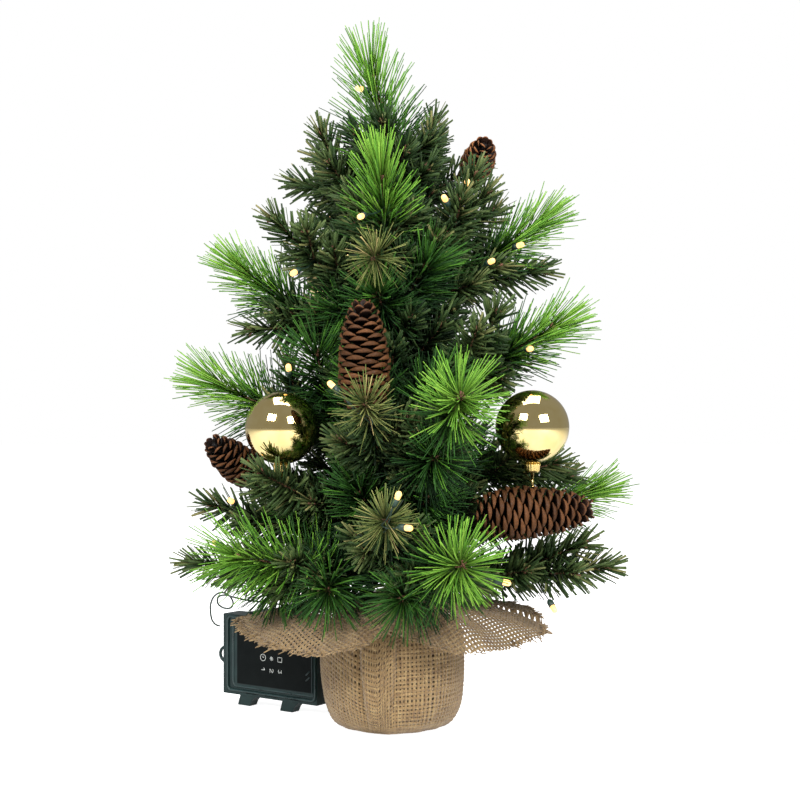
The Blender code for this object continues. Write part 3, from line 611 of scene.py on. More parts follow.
def grid_quads(number):
    """Quads over a grid of point numbers."""
    return np.stack([number[:-1, :-1], number[1:, :-1], number[1:, 1:], number[:-1, 1:]], axis=2)


def lathe_arrays(outline, sides, ripple=None):
    """Vertices and polygons of a turned shape; ripple changes each point's radius."""
    outline = np.array(outline, float)
    turn = np.arange(sides) * tau / sides
    radius = np.repeat(outline[:, :1], sides, axis=1)
    if ripple is not None:
        radius = radius * ripple(outline[:, 1:2], turn[None, :])
    height = np.repeat(outline[:, 1:2], sides, axis=1)
    points = np.stack([radius * np.cos(turn), radius * np.sin(turn), height], axis=2)
    return points.reshape(-1, 3), [ring_quads(len(outline), sides)[:, [0, 3, 2, 1]]]


class Heap:
    """Gathers many small shapes for one piece."""

    def __init__(self):
        self.points, self.maps, self.runs, self.slots = [], [], {}, {}
        self.count = 0

    def add(self, points, polygons, maps, slot=0):
        self.points.append(points)
        self.maps.append(maps)
        for run in polygons:
            corners = run.shape[1]
            self.runs.setdefault(corners, []).append(run + self.count)
            self.slots.setdefault(corners, []).append(np.full(len(run), slot))
        self.count += len(points)

    def tube(self, points, radii, sides=8, slot=0, tint=(1.0, 1.0), capped=True):
        """Adds a round tube along points; its first map value runs from 0 to 1 along it."""
        points = np.asarray(points, float)
        count = len(points)
        along = unit(np.gradient(points, axis=0))
        side, up = frame_round(along[0])
        turn = np.arange(sides) * tau / sides
        rings = []
        for centre, way, radius in zip(points, along, np.broadcast_to(radii, count)):
            side = unit(side - way * (side @ way))
            up = np.cross(way, side)
            round_it = np.outer(np.cos(turn), side) + np.outer(np.sin(turn), up)
            rings.append(centre + radius * round_it)
        caps = np.stack([np.arange(sides)[::-1], np.arange(sides) + (count - 1) * sides])
        maps = np.repeat(np.linspace(0, 1, count), sides)
        maps = np.stack([maps, np.full(len(maps), 0.5)], axis=1) * tint
        quads = ring_quads(count, sides)
        self.add(np.vstack(rings), [quads, caps] if capped else [quads], maps, slot)

    def turned(self, outline, sides, place, basis=np.eye(3), ripple=None):
        """Adds a turned shape about the last axis of a basis."""
        points, polygons = lathe_arrays(outline, sides, ripple)
        self.add(points @ basis + place, polygons, np.zeros((len(points), 2)))

    def piece(self, name, body, finishes, slot=None, stands_for=(), smooth=False,
              map_name="needle"):
        """Makes one piece of all that was added."""
        runs = [np.vstack(self.runs[c]) for c in sorted(self.runs)]
        slots = np.concatenate([np.concatenate(self.slots[c]) for c in sorted(self.runs)])
        mesh = array_mesh(name, np.vstack(self.points), runs, np.vstack(self.maps), map_name,
                          slots, smooth)
        return add_piece(name, mesh, body, finishes, stands_for)


def blades(heap, start, along, length, width, thick, shade, slot, bend=None, corners=4):
    """Many thin needles or ribbons with blunt ends, as closed prisms."""
    count = len(start)
    stations = np.array([0.0, 1.0]) if bend is None else np.array([0.0, 0.5, 1.0])
    side, up = frame_round(along)
    twist = rng.uniform(0, pi, count)[:, None]
    side, up = (side * np.cos(twist) + up * np.sin(twist),
                up * np.cos(twist) - side * np.sin(twist))
    turn = np.arange(corners) * tau / corners + pi / corners
    reach = 1 / cos(pi / 4) if corners == 4 else 1.0
    offset = (np.cos(turn)[:, None] * (side * (width * reach / 2)[:, None])[:, None]
              + np.sin(turn)[:, None] * (up * (thick * reach / 2)[:, None])[:, None])
    line = start[:, None] + along[:, None] * (length[:, None] * stations)[:, :, None]
    if bend is not None:
        line = line + bend[:, None] * (stations ** 2)[None, :, None]
    taper = np.where(stations == 1, 0.8, 1.0)[None, :, None, None]
    points = line[:, :, None] + offset[:, None] * taper
    rings = len(stations)
    base = (np.arange(count) * rings * corners)[:, None, None]
    step = np.arange(corners)
    caps = np.stack([step[::-1], (rings - 1) * corners + step])
    polygons = [(base + part).reshape(-1, part.shape[1])
                for part in (ring_quads(rings, corners), caps)]
    maps = np.stack([np.broadcast_to(stations[None, :, None], (count, rings, corners)),
                     np.broadcast_to(shade[:, None, None], (count, rings, corners))], axis=3)
    heap.add(points.reshape(-1, 3), polygons, maps.reshape(-1, 2), slot)


# ---- branches

STEM, FIR, PINE, SPRIG = range(4)


def whorls(start, tip, share, angle, jitter):
    """Roots on a stem and directions off it, turning by the golden angle."""
    axis = tip - start
    way = unit(axis)
    side, up = frame_round(way)
    turn = np.arange(len(share)) * GOLDEN_TURN + rng.normal(0, 0.35, len(share))
    angle = angle + rng.normal(0, jitter, len(share))
    out = np.outer(np.cos(turn), side) + np.outer(np.sin(turn), up)
    along = way * np.cos(angle)[:, None] + out * np.sin(angle)[:, None]
    return start + axis * share[:, None], unit(along)


def add_stem(heap, start, tip, radius):
    heap.tube(np.linspace(start, tip, 5), np.linspace(radius, radius * 0.6, 5), 6, STEM)


def add_ribbons(heap, start, tip, low=0.04, high=1.0, per_metre=RIBBONS_PER_METRE, shade=0.40):
    """Flat foil ribbons all round a stem, closing towards its tip."""
    length = np.linalg.norm(tip - start)
    count = max(int(length * (high - low) * per_metre), 12)
    share = np.linspace(low, high, count)
    near = 1 - np.clip((1 - share) * length / 0.030, 0, 1) if high == 1.0 else np.zeros(count)
    angle = np.radians(RIBBON_LEAN[0] - RIBBON_LEAN[1] * near)
    roots, along = whorls(start, tip, share, angle, 0.08)
    size = RIBBON_LENGTH * (1 - 0.25 * near) * rng.uniform(0.84, 1.08, count)
    tone = np.clip(rng.normal(shade, 0.17, count) + 0.20 * near, 0, 1)
    bend = unit(tip - start) * 0.0030 + rng.normal(0, 0.0008, (count, 3))
    blades(heap, roots, along, size, RIBBON_WIDTH * rng.uniform(0.75, 1.05, count),
           np.full(count, RIBBON_THICK), tone, FIR, bend)
    if high == 1.0:
        add_bud(heap, tip, unit(tip - start), 8, 0.010, FIR)
        add_bud(heap, tip, unit(tip - start), 5, 0.0085, STEM)


def add_bud(heap, tip, way, count, length, slot):
    """A few short pieces that point on from the end of a stem."""
    roots, along = whorls(tip - way * 0.003, tip, np.zeros(count),
                          np.full(count, radians(30)), 0.20)
    size = length * rng.uniform(0.6, 1.0, count)
    wide = np.full(count, RIBBON_WIDTH * 0.9)
    blades(heap, roots, along, size, wide, wide * 0.35, rng.uniform(0.55, 1.0, count), slot)


def add_pine(heap, start, tip, splay, bright=PINE_BRIGHT):
    """Long needles over the end of a stem: dark ones below, lighter ones towards the bud."""
    length = np.linalg.norm(tip - start)
    wide_open, closed, reach, size = splay
    reach = min(reach / length, 0.9)
    dense = reach * length / 0.055
    groups = (
        (int(50 + 30 * dense), 1 - min(1.35 * reach, 0.95), 1 - 0.6 * reach, wide_open, wide_open,
         1.06, bright - 0.50, 0.10),
        (int(120 + 70 * dense), 1 - reach, 1.0, wide_open, closed, 0.96, bright, 0.13),
        (22, 0.985, 1.0, closed, closed * 0.8, 0.86, bright + 0.10, 0.08),
    )
    for count, low, high, first, last, part_size, shade, spread in groups:
        share = np.sort(rng.uniform(low, high, count))
        part = (share - share.min()) / max(np.ptp(share), 1e-6)
        angle = np.radians(first + (last - first) * part)
        roots, along = whorls(start, tip, share, angle, 0.14)
        needle = PINE_LENGTH * size * part_size * rng.uniform(0.80, 1.08, count)
        bend = unit(tip - start) * 0.0030 + rng.normal(0, 0.0012, (count, 3))
        tone = np.clip(rng.normal(shade - 0.25 * (1 - part) * reach, spread, count), 0, 1)
        wide = PINE_WIDTH * rng.uniform(0.85, 1.1, count)
        blades(heap, roots, along, needle, wide, wide, tone, PINE, bend, corners=3)
    add_bud(heap, tip, unit(tip - start), 18, 0.0075, STEM)


def add_sprig(heap, start, tip):
    """Short olive needles in a loose brush."""
    length = np.linalg.norm(tip - start)
    count = SPRIG_NEEDLES
    share = np.sort(rng.uniform(max(1 - SPRIG_REACH / length, 0.05), 1.0, count))
    part = (share - share.min()) / max(np.ptp(share), 1e-6)
    roots, along = whorls(start, tip, share, np.radians(88 - 46 * part), 0.20)
    needle = SPRIG_LENGTH * rng.uniform(0.72, 1.1, count)
    tone = np.clip(rng.normal(0.52, 0.24, count), 0, 1)
    wide = SPRIG_WIDTH * rng.uniform(0.8, 1.15, count)
    bend = rng.normal(0, 0.0012, (count, 3))
    blades(heap, roots, along, needle, wide, wide, tone, SPRIG, bend, corners=3)
    add_bud(heap, tip, unit(tip - start), 8, 0.0045, STEM)


def add_tip(heap, kind, start, tip, low=0.04, splay=USUAL_SPLAY, shade=0.46):
    """One stem with the foliage of its kind: firs are ribbons all the way to the tip."""
    start, tip = np.asarray(start, float), np.asarray(tip, float)
    add_stem(heap, start, tip, STEM_RADIUS)
    if kind == "fir":
        add_ribbons(heap, start, tip, low, shade=shade)
        return
    length = np.linalg.norm(tip - start)
    bare = {"pine": splay[2] * 0.85, "shade": 0.040, "sprig": 0.024}[kind]
    if length > bare * 1.3:
        add_ribbons(heap, start, tip, low, 1 - bare / length, shade=0.26)
    if kind == "sprig":
        add_sprig(heap, start, tip)
    else:
        # 'shade' heads get a darker middle tone (0.30): painted shade for needles deep in the tree
        add_pine(heap, start, tip, splay, PINE_BRIGHT if kind == "pine" else 0.30)


def node_points(name):
    """Points of a CAD node's mesh."""
    core = frame["nodes"][name].data
    points = np.empty(len(core.vertices) * 3)
    core.vertices.foreach_get("co", points)
    return points.reshape(-1, 3)


def branch_ends(name):
    """Root and tip of a branch: its joint, and the middle of the far end of its CAD core."""
    hinge = next(j for j in frame["joints"] if j["child"] == name)
    root = np.array(hinge["pos_m"])
    points = node_points(name)
    reach = np.linalg.norm(points - root, axis=1)
    return root, points[reach > reach.max() - 0.0008].mean(axis=0)


def side_shoots(heap, root, tip, body_kind):
    """Shorter fir tips that leave a branch on both sides, and a few above and below."""
    axis = tip - root
    length = np.linalg.norm(axis)
    way = axis / length
    side, up = frame_round(way)
    count = max(int(length / SHOOT_SPACING), 2)
    top = 0.62 if body_kind != "fir" else 0.72
    for i in range(count):
        share = 0.22 + (top - 0.22) * (i + rng.uniform(0.1, 0.6)) / count
        turn = pi * i + rng.normal(0, 0.5)
        out = side * cos(turn) + up * sin(turn) * 0.8
        angle = radians(rng.uniform(*SHOOT_ANGLES))
        size = min(rng.uniform(*SHOOT_LENGTHS), length * (1.02 - share))
        start = root + axis * share
        add_tip(heap, "fir", start, start + (way * cos(angle) + out * sin(angle)) * size)


def stem_tip(name, root, core_tip):
    """End of a branch's stem: its needles, not its stem, reach the end of the CAD core."""
    if name in STEM_TIPS:
        return np.array(STEM_TIPS[name])
    closed = radians(PINE_SPLAY.get(name, USUAL_SPLAY)[1])
    past = {"fir": 0.013, "sprig": 0.014, "pine": 0.88 * PINE_LENGTH * cos(closed)}
    return core_tip - unit(core_tip - root) * past[name.split("_")[0]]


def build_branches(finishes):
    for name in [j["child"] for j in frame["joints"] if j["name"].endswith("_bend")]:
        kind = name.split("_")[0]
        root, core_tip = branch_ends(name)
        tip = stem_tip(name, root, core_tip)
        heap = Heap()
        add_tip(heap, kind, root, tip, 0.02, PINE_SPLAY.get(name, USUAL_SPLAY))
        side_shoots(heap, root, tip, kind)
        for share, side_kind, side_tip in SIDE_TIPS.get(name, ()):
            splay = SHADE_SPLAY if side_kind == "shade" else USUAL_SPLAY
            start = root + (tip - root) * share
            end = np.array(side_tip) - unit(side_tip - start) * SIDE_TIP_PAST
            add_tip(heap, side_kind, start, end, splay=splay)
        heap.piece(f"foliage_{name}", name, finishes, f"needles_{kind}", [name])


def build_leader(finishes):
    """The top tip, over the end of the trunk."""
    low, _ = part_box("leader")
    root = np.array([0.0, 0.0, low.z])
    tip = np.array(STEM_TIPS["leader"])
    heap = Heap()
    add_stem(heap, root, tip, LEADER_RADIUS)
    add_pine(heap, root - [0.0, 0.0, 0.045], tip, PINE_SPLAY["leader"], 0.66)
    heap.piece("foliage_leader", "base", finishes, "needles_pine", ["leader"])


def build_inner(finishes):
    """Tinsel shoots round the trunk, which hide it."""
    bottom, top = INNER_HEIGHTS
    halves = (Heap(), Heap())
    for i in range(INNER_SHOOTS):
        part = (i + 0.5) / INNER_SHOOTS
        height = bottom + (top - bottom) * part
        turn = GOLDEN_TURN * i
        rise = radians(rng.uniform(14, 42) + 14 * part)
        size = (0.082 - 0.046 * part) * rng.uniform(0.80, 1.10)
        out = np.array([cos(turn), sin(turn), 0.0])
        start = out * 0.0062 + [0.0, 0.0, height]
        way = out * cos(rise) + np.array([0.0, 0.0, sin(rise)])
        kind = "shade" if i % 3 == 1 and part < 0.7 else "fir"
        # painted shade: inner shoots take a darker tone (0.22) for the tree's shaded inside
        add_tip(halves[i % 2], kind, start, start + way * size, splay=INNER_SPLAY, shade=0.22)
    for i, heap in enumerate(halves, 1):
        heap.piece(f"inner_shoots_{i}", "base", finishes, "needles_fir")


# ---- pinecones

def scale_shape():
    """One cone scale: a thin closed plate from its root, y = 0, to a thick lens-shaped end."""
    across, along = np.linspace(-1, 1, 7), np.array([0.0, 0.35, 0.65, 0.82, 0.94, 1.0])
    a, b = np.meshgrid(across, along, indexing="ij")
    half = 0.40 + 0.60 * np.sqrt(b)
    out = b * (1 - 0.26 * a ** 2)
    lift = 0.10 * b ** 2 - 0.10 * a ** 2 * b
    swell = np.clip((b - 0.55) / 0.40, 0, 1) ** 1.5 * np.where(b == 1.0, 0.72, 1.0)
    thick = 0.025 + 0.25 * swell * (1 - a ** 2)
    points = np.concatenate([np.stack([a * half, out, lift + side * thick], axis=2).reshape(-1, 3)
                             for side in (1, -1)])
    number = np.arange(a.size).reshape(a.shape)
    face = grid_quads(number).reshape(-1, 4)
    rim = np.concatenate([number[0, :], number[1:, -1], number[-1, -2::-1], number[-2:0:-1, 0]])
    after = np.roll(rim, -1)
    edge = np.stack([rim, after, after + a.size, rim + a.size], axis=1)
    maps = np.stack([np.tile(b.reshape(-1), 2), np.full(2 * a.size, 0.5)], axis=1)
    return points, [face, face[:, ::-1] + a.size, edge], maps


def build_cone(name, base, tip, radius, finish):
    """Scales spiral up a dark core, open in the middle and closed at the tip."""
    base, tip = np.array(base), np.array(tip)
    axis = tip - base
    length = np.linalg.norm(axis)
    way = axis / length
    side, up = frame_round(way)
    shape, polygons, maps = scale_shape()
    heap = Heap()
    stops, swell = zip(*CONE_PROFILE)
    count = int(CONE_SCALES * length / FULL_CONE)
    for i in range(count):
        share = 0.02 + 0.95 * (i + 0.5) / count
        outer = radius * np.interp(share, stops, swell)
        inner = outer * SCALE_ROOT
        tilt = radians(np.interp(share, *CONE_TILT))
        turn = GOLDEN_TURN * i
        out = side * cos(turn) + up * sin(turn)
        ahead = way * cos(tilt) + out * sin(tilt)
        beside = np.cross(way, out)
        above = np.cross(beside, ahead)
        size = max((outer - inner) / max(sin(tilt), 0.45), 0.0045) * rng.uniform(0.95, 1.04)
        wide = max(outer * 0.42, 0.0030)
        root = base + axis * (share - 0.06) + out * inner
        placed = (root + np.outer(shape[:, 0] * wide, beside) + np.outer(shape[:, 1] * size, ahead)
                  - np.outer(shape[:, 2] * wide * 0.9, above))
        heap.add(placed, polygons, maps * [1.0, 2.0 * rng.uniform(0, 1)])
    waist = radius * np.interp(np.linspace(0, 0.97, 12), stops, swell) * CONE_CORE
    # the core's first map value is 0, so it takes the near-black painted shade of the gaps
    heap.tube(np.linspace(base, base + axis * 0.97, 12), waist, 14, tint=(0.0, 1.0))
    add_pick(heap, name, base + way * 0.002, -way)
    heap.piece(f"scales_{name}", frame["nodes"][name]["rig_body"], [finish], "pinecone", [name])


def add_pick(heap, name, start, outward):
    """The wire from a decoration to the branch that holds it."""
    if name in PICKS:
        branch, share, bends = PICKS[name]
        root, tip = branch_ends(branch)
        held = root + (tip - root) * share
        route = [start, start + outward * 0.008, *map(np.array, bends), held]
        heap.tube(smooth_points(route, 24), PICK_RADIUS, tint=(0.4, 1.0))


# ---- baubles

def build_bauble(side, gold, cap_gold):
    low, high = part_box(f"bauble_{side}")
    centre = np.array([(low.x + high.x) / 2, (low.y + high.y) / 2, high.z - 0.030])
    radius = high.z - centre[2]
    body = frame["nodes"][f"bauble_{side}"]["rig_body"]
    turns = np.linspace(0.002, pi - BAUBLE_MOUTH, 52)
    outer = [(radius * sin(a), radius * cos(a)) for a in turns]
    neck = [(0.0040, -radius - 0.0006), (0.0036, -radius - 0.0012), (0.0030, -radius + 0.0010)]
    inside = radius - BAUBLE_WALL
    inner = [(inside * sin(a), inside * cos(a)) for a in turns[::-2]]
    points, polygons = lathe_arrays([*outer, *neck, *inner], 72)
    ball = array_mesh(f"ball_{side}", points + centre, polygons, smooth=True)
    add_piece(f"ball_{side}", ball, body, [gold], [f"bauble_{side}"])
    build_cap(side, centre, radius, body, cap_gold)


def build_cap(side, centre, radius, body, finish):
    """A crimped cup under the ball, with the wire that holds it."""
    top = -sqrt(radius ** 2 - CAP_SEAT ** 2) - 0.0002
    outline = [(reach, top - drop) for reach, drop in CAP_PROFILE]

    def crimps(height, turn):
        depth = np.clip((height - top + 0.0062) / 0.002, 0, 1)
        return 1 + 0.035 * depth * np.cos(CAP_CRIMPS * turn)

    heap = Heap()
    inside = [(reach - 0.0006, z - 0.0002) for reach, z in outline[5::-1]]
    for line in (outline, inside):
        heap.turned(line, 108, centre, ripple=crimps)
    foot = centre + [0.0, 0.0, top - 0.0125]
    add_pick(heap, f"bauble_cap_{side}", foot, np.array([0.0, 0.0, -1.0]))
    heap.piece(f"cap_{side}", body, [finish], "gold_cap", [f"bauble_cap_{side}"], smooth=True)


# ---- lamps and lead

def build_lamps(glow, green):
    """Lens, socket and twin wire of each lamp, in two pieces for each branch."""
    for branch, spots in LAMPS.items():
        lens, socket = Heap(), Heap()
        for spot in map(np.array, spots):
            if branch == "leader":
                root, tip = map(np.array, LEADER_CORE)
            else:
                root, tip = branch_ends(branch)
            axis = tip - root
            share = np.clip((spot - root) @ axis / (axis @ axis) - 0.08, 0.1, 0.9)
            held = root + axis * share
            way = unit(spot - held)
            add_lamp(lens, socket, spot, way)
            back = spot - way * (LAMP_LENGTH * 0.5 + SOCKET_LENGTH)
            for turn in (0, 1):
                socket.tube(twin_wire(root, held, back, turn), LAMP_WIRE, 5)
        body = "base" if branch == "leader" else branch
        lens.piece(f"lamp_lenses_{branch}", body, [glow], smooth=True)
        socket.piece(f"lamp_sockets_{branch}", body, [green], "wire_green", smooth=True)


def twin_wire(root, held, back, turn):
    """One of two wires that wind along a branch and out to a lamp."""
    axis = held - root
    side, up = frame_round(unit(axis))
    t = np.linspace(0.0, 1.0, 40)[:, None]
    angle = t * tau * WIRE_TURNS + pi * turn
    wound = root + axis * t + WIRE_ORBIT * (side * np.cos(angle) + up * np.sin(angle))
    return smooth_points([*wound[::3], (wound[-1] + back) / 2 + [0, 0, -0.002], back], 60)


def add_lamp(lens, socket, spot, way):
    basis = np.stack([*frame_round(way), way])
    dome = [(LAMP_RADIUS * cos(a), LAMP_LENGTH * 0.18 + LAMP_RADIUS * sin(a))
            for a in np.linspace(0, pi / 2 - 0.05, 6)]
    foot = -LAMP_LENGTH / 2
    lens.turned([(LAMP_RADIUS * 0.9, foot), (LAMP_RADIUS, -LAMP_LENGTH * 0.4), *dome], 12, spot,
                basis)
    socket.turned([(0.0001, foot + 0.0006), (SOCKET_RADIUS, foot + 0.0004),
                   (SOCKET_RADIUS, foot - 0.0050), (0.0020, foot - 0.0066),
                   (0.0001, foot - SOCKET_LENGTH)], 10, spot, basis)


def build_lead(green):
    points = smooth_points(LEAD_ROUTE, 120)
    curve = bpy.data.curves.new("lead", "CURVE")
    curve.dimensions = "3D"
    curve.bevel_depth = LEAD_DIAMETER / 2
    curve.bevel_resolution = 3
    curve.use_fill_caps = True
    line = curve.splines.new("POLY")
    line.points.add(len(points) - 1)
    line.points.foreach_set("co", np.column_stack([points, np.ones(len(points))]).ravel())
    lead = add_piece("lead", curve, "base", [green], ["lead_wire"])


# ---- burlap

def weave_relief(column, row):
    """Height of the cloth at a lattice point; each thread has a left, middle and right column."""
    thread, place = np.divmod(column, 3)
    other, level = np.divmod(row, 3)
    even = (thread + other) % 2 == 0
    return np.where(even, CROSSING[level, place], CROSSING[place, level]) * WEAVE_RELIEF


def sack_surface(turn, down):
    """Point of the sack at an azimuth and a share of the way down its outline."""
    outline = smooth_points([(r, z, 0.0) for r, z in SACK_OUTLINE], 200)
    runs = np.linspace(0, 1, 200)
    front = np.abs((turn - PLEAT_TURN + pi) % tau - pi)
    radius = np.interp(down, runs, outline[:, 0])
    height = np.interp(down, runs, outline[:, 1])
    neck = np.clip((0.28 - down) / 0.28, 0, 1)
    foot = np.clip((down - 0.78) / 0.22, 0, 1)
    folds = np.sin(19 * turn + 0.7 * np.sin(3 * turn)) * 0.0016 * neck
    folds = folds + np.sin(15 * turn + 1.1 * np.sin(2 * turn)) * 0.0007 * foot
    swell = 0.0006 * np.sin(3 * turn + 0.6) + 0.0005 * np.sin(5 * turn + 9 * down)
    pleat_half = 0.36 * (1 - 0.55 * down)
    pleat = 0.0020 / (1 + np.exp((front - pleat_half) * 40))
    fading = np.clip((0.95 - down) * 6, 0, 1)
    crease = -0.0032 * np.exp(-((front - pleat_half) / 0.045) ** 2) * fading
    return radius + folds + swell + pleat + crease, height


def add_cloth(name, points, polygons, maps, finish, node, thick):
    """A woven sheet, thickened inwards."""
    mesh = array_mesh(name, points, polygons, maps, "weave", smooth=True)
    cloth = add_piece(name, mesh, "base", [finish], [node])
    solid = cloth.modifiers.new("cloth", "SOLIDIFY")
    solid.thickness = thick
    solid.offset = -1.0
    return cloth


def build_sack(finish):
    """A woven sack: the weave is in the mesh, and sags towards the pleat in front."""
    threads = round(tau * THREAD_RADIUS / WEAVE / 2) * 2
    rows = SACK_ROWS
    column, row = np.meshgrid(np.arange(threads * 3), np.arange(rows * 3 + 1), indexing="ij")
    uneven = rng.normal(0, 0.07, threads)[column // 3]
    spread = (column // 3 + THREAD_COLUMNS[column % 3] + uneven) / threads
    beside = (spread + 0.5) % 1 - 0.5       # turns to the right of the pleat
    near = np.exp(-(beside / 0.13) ** 2)
    turn = PLEAT_TURN + tau * spread - 0.42 * np.sin(tau * spread) * near
    uneven = rng.normal(0, 0.07, rows + 1)[row // 3] * (row > 2) * (row < rows * 3 - 3)
    down = (row // 3 + THREAD_COLUMNS[row % 3] + uneven) / rows
    down = down + (0.004 * np.sin(3 * tau * spread + 1.0)
                   * np.sin(pi * np.clip(down, 0, 1)))
    width = np.where(beside < 0, *PLEAT_WIDTHS)
    sag = PLEAT_SAG * np.exp(-(beside / width) ** 2) * np.sin(pi * np.clip(down, 0, 1))
    down = np.clip(down + sag, 0, 1)
    radius, height = sack_surface(turn, down)
    radius = radius + weave_relief(column, row) * (down < 0.985)
    flat = np.stack([radius * np.cos(turn), radius * np.sin(turn), height], axis=2).reshape(-1, 3)
    flat[:, 2] = np.maximum(flat[:, 2], 0.0001)
    number = np.arange(column.size).reshape(column.shape)
    quads = grid_quads(np.vstack([number, number[:1]]))[..., [0, 3, 2, 1]]
    gap = (column[:, :-1] % 3 == 2) & (row[:, :-1] % 3 == 2)
    quads = quads[~(gap & (down[:, :-1] > 0.10) & (down[:, :-1] < 0.90))]
    underside = number[:, -1][::-1]
    centre = np.full(len(underside), len(flat))
    fan = np.stack([underside, np.roll(underside, -1), centre], axis=1)
    maps = np.stack([(column / 3).reshape(-1), (row / 3).reshape(-1)], axis=1)
    sack = add_cloth("sack", np.vstack([flat, [[0.0, 0.0, 0.0006]]]),
                     [quads.reshape(-1, 4), fan], np.vstack([maps, [[0.0, 0.0]]]), finish,
                     "burlap_wrap", SACK_THICK)


def collar_edge():
    """Azimuth, radius and height of the collar's edge in the CAD, all the way round."""
    points = node_points("burlap_collar")
    radius = np.hypot(points[:, 0], points[:, 1])
    turn = np.arctan2(points[:, 1], points[:, 0])
    rows = []
    for want in tau * np.arange(COLLAR_STEPS) / COLLAR_STEPS:
        near = np.abs((turn - want + pi) % tau - pi) < 0.02
        far = near & (radius > radius[near].max() - 0.0015)
        rows.append((want, radius[far].mean(), points[far, 2].mean()))
    return np.array(rows), radius.min(), points[:, 2].max()


def collar_height(x, y, edge, inner, top):
    """Share of the way out, and height, of the collar over a point of the plane."""
    turn = np.arctan2(y, x) % tau
    limit, low = (np.interp(turn, edge[:, 0], edge[:, i], period=tau) for i in (1, 2))
    out = (np.hypot(x, y) - inner) / (limit - inner)
    share = np.clip(out, 0, 1)
    ripple = 0.0022 * np.sin(7 * turn + 1.0) + 0.0014 * np.sin(13 * turn)
    ripple = ripple * (share * (1 - share) * 3 + 0.15)
    height = top + (low - top) * np.clip(out, 0, 1.2) ** COLLAR_DROOP + ripple
    curl = np.exp(-((turn - CURL_TURN) / 0.34) ** 2) * share ** 2
    return out, height + COLLAR_CURL * curl


def build_collar(finish):
    """The loose top of the cloth: an open square weave with cut, frayed edges."""
    edge, inner, top = collar_edge()
    index = np.arange(-COLLAR_THREADS * 3, COLLAR_THREADS * 3 + 1)
    thread, place = np.divmod(index, 3)
    line = (thread + OPEN_THREAD_COLUMNS[place]) * WEAVE
    column, row = np.meshgrid(index, index, indexing="ij")
    a, b = np.meshgrid(line, line, indexing="ij")
    a = a + 0.0007 * np.sin(b * 70) + 0.0003 * np.sin(b * 211)
    b = b + 0.0007 * np.sin(a * 63 + 1) + 0.0003 * np.sin(a * 187)
    c, s = cos(COLLAR_LATTICE_TURN), sin(COLLAR_LATTICE_TURN)
    x, y = a * c - b * s, a * s + b * c
    out, height = collar_height(x, y, edge, inner, top - 0.0015)
    height = height + weave_relief(column, row)
    points = np.stack([x, y, height], axis=2).reshape(-1, 3)
    quads = grid_quads(np.arange(len(points)).reshape(x.shape))
    middle = (out[:-1, :-1] + out[1:, 1:]) / 2
    column, row = column[:-1, :-1], row[:-1, :-1]
    ragged = 1.0 + 0.025 * np.sin(column * 1.9) * np.sin(row * 2.3)
    hole = (column % 3 == 2) & (row % 3 == 2)
    kept = (middle > 0.0) & (middle < ragged) & ~hole
    used, polygons = np.unique(quads[kept], return_inverse=True)
    maps = np.stack(np.meshgrid(index / 3, index / 3, indexing="ij"), axis=2).reshape(-1, 2)[used]
    collar = add_cloth("collar", points[used], [polygons.reshape(-1, 4)], maps, finish,
                       "burlap_collar", COLLAR_THICK)
    fringe = build_fringe(points[used], out.reshape(-1)[used], finish)


def build_fringe(points, out, finish):
    """Cut thread ends that stand off the collar's edge, each in line with its thread."""
    near = np.flatnonzero(out > 0.955)
    turn = np.degrees(np.arctan2(points[near, 1], points[near, 0])) % 360
    hemmed = (turn > HEM_TURNS[0]) & (turn < HEM_TURNS[1])
    weight = np.where(hemmed, 0.15, 1.0)
    picked = rng.choice(near, FRINGE_THREADS, replace=False, p=weight / weight.sum())
    start = points[picked]
    outward = unit(start * [1, 1, 0])
    c, s = cos(COLLAR_LATTICE_TURN), sin(COLLAR_LATTICE_TURN)
    warp, weft = np.array([c, s, 0.0]), np.array([-s, c, 0.0])
    share = np.stack([outward @ warp, outward @ weft], axis=1)
    along = np.where(np.abs(share[:, :1]) > np.abs(share[:, 1:]), warp * np.sign(share[:, :1]),
                     weft * np.sign(share[:, 1:]))
    along = unit(along + rng.normal(0, 0.16, start.shape) + [0, 0, -0.16])
    count = len(picked)
    heap = Heap()
    wide = rng.uniform(0.0005, 0.0010, count)
    blades(heap, start - along * 0.002, along, rng.uniform(0.003, 0.0085, count), wide, wide,
           rng.uniform(0, 1, count), 0, rng.normal(0, 0.0009, (count, 3)))
    return heap.piece("collar_fringe", "base", [finish], "burlap_loose", map_name="weave")


def build_tie(finish):
    """Three strands twisted into the cord round the neck."""
    low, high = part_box("neck_tie")
    ring = (high.x - low.x) / 2 - 0.0020
    height = (low.z + high.z) / 2
    heap = Heap()
    t = np.linspace(0, tau, 240, endpoint=False)
    for strand in range(3):
        twist = TIE_TWISTS * t + tau * strand / 3
        reach = ring + TIE_ORBIT * np.cos(twist)
        line = np.stack([reach * np.cos(t), reach * np.sin(t),
                         height + TIE_ORBIT * np.sin(twist)], axis=1)
        heap.tube(np.vstack([line, line[:1]]), TIE_STRAND, capped=False)
    heap.piece("tie", "base", [finish], "jute_cord", ["neck_tie"], smooth=True, map_name="weave")


# ---- battery box

def on_box(x, y, z):
    """A point given in the battery box's own frame."""
    c, s = cos(BOX_YAW), sin(BOX_YAW)
    return np.array([BOX_PLACE[0] + c * x - s * y, BOX_PLACE[1] + s * x + c * y, z])


def stroke(heap, route, closed=False):
    """A printed line on the box's front panel."""
    places = [on_box(x, PANEL_FACE, z) for x, z in route]
    if closed:
        places.append(places[0])
    for ends in zip(places, places[1:]):
        heap.tube(ends, MARK_RADIUS, 6)


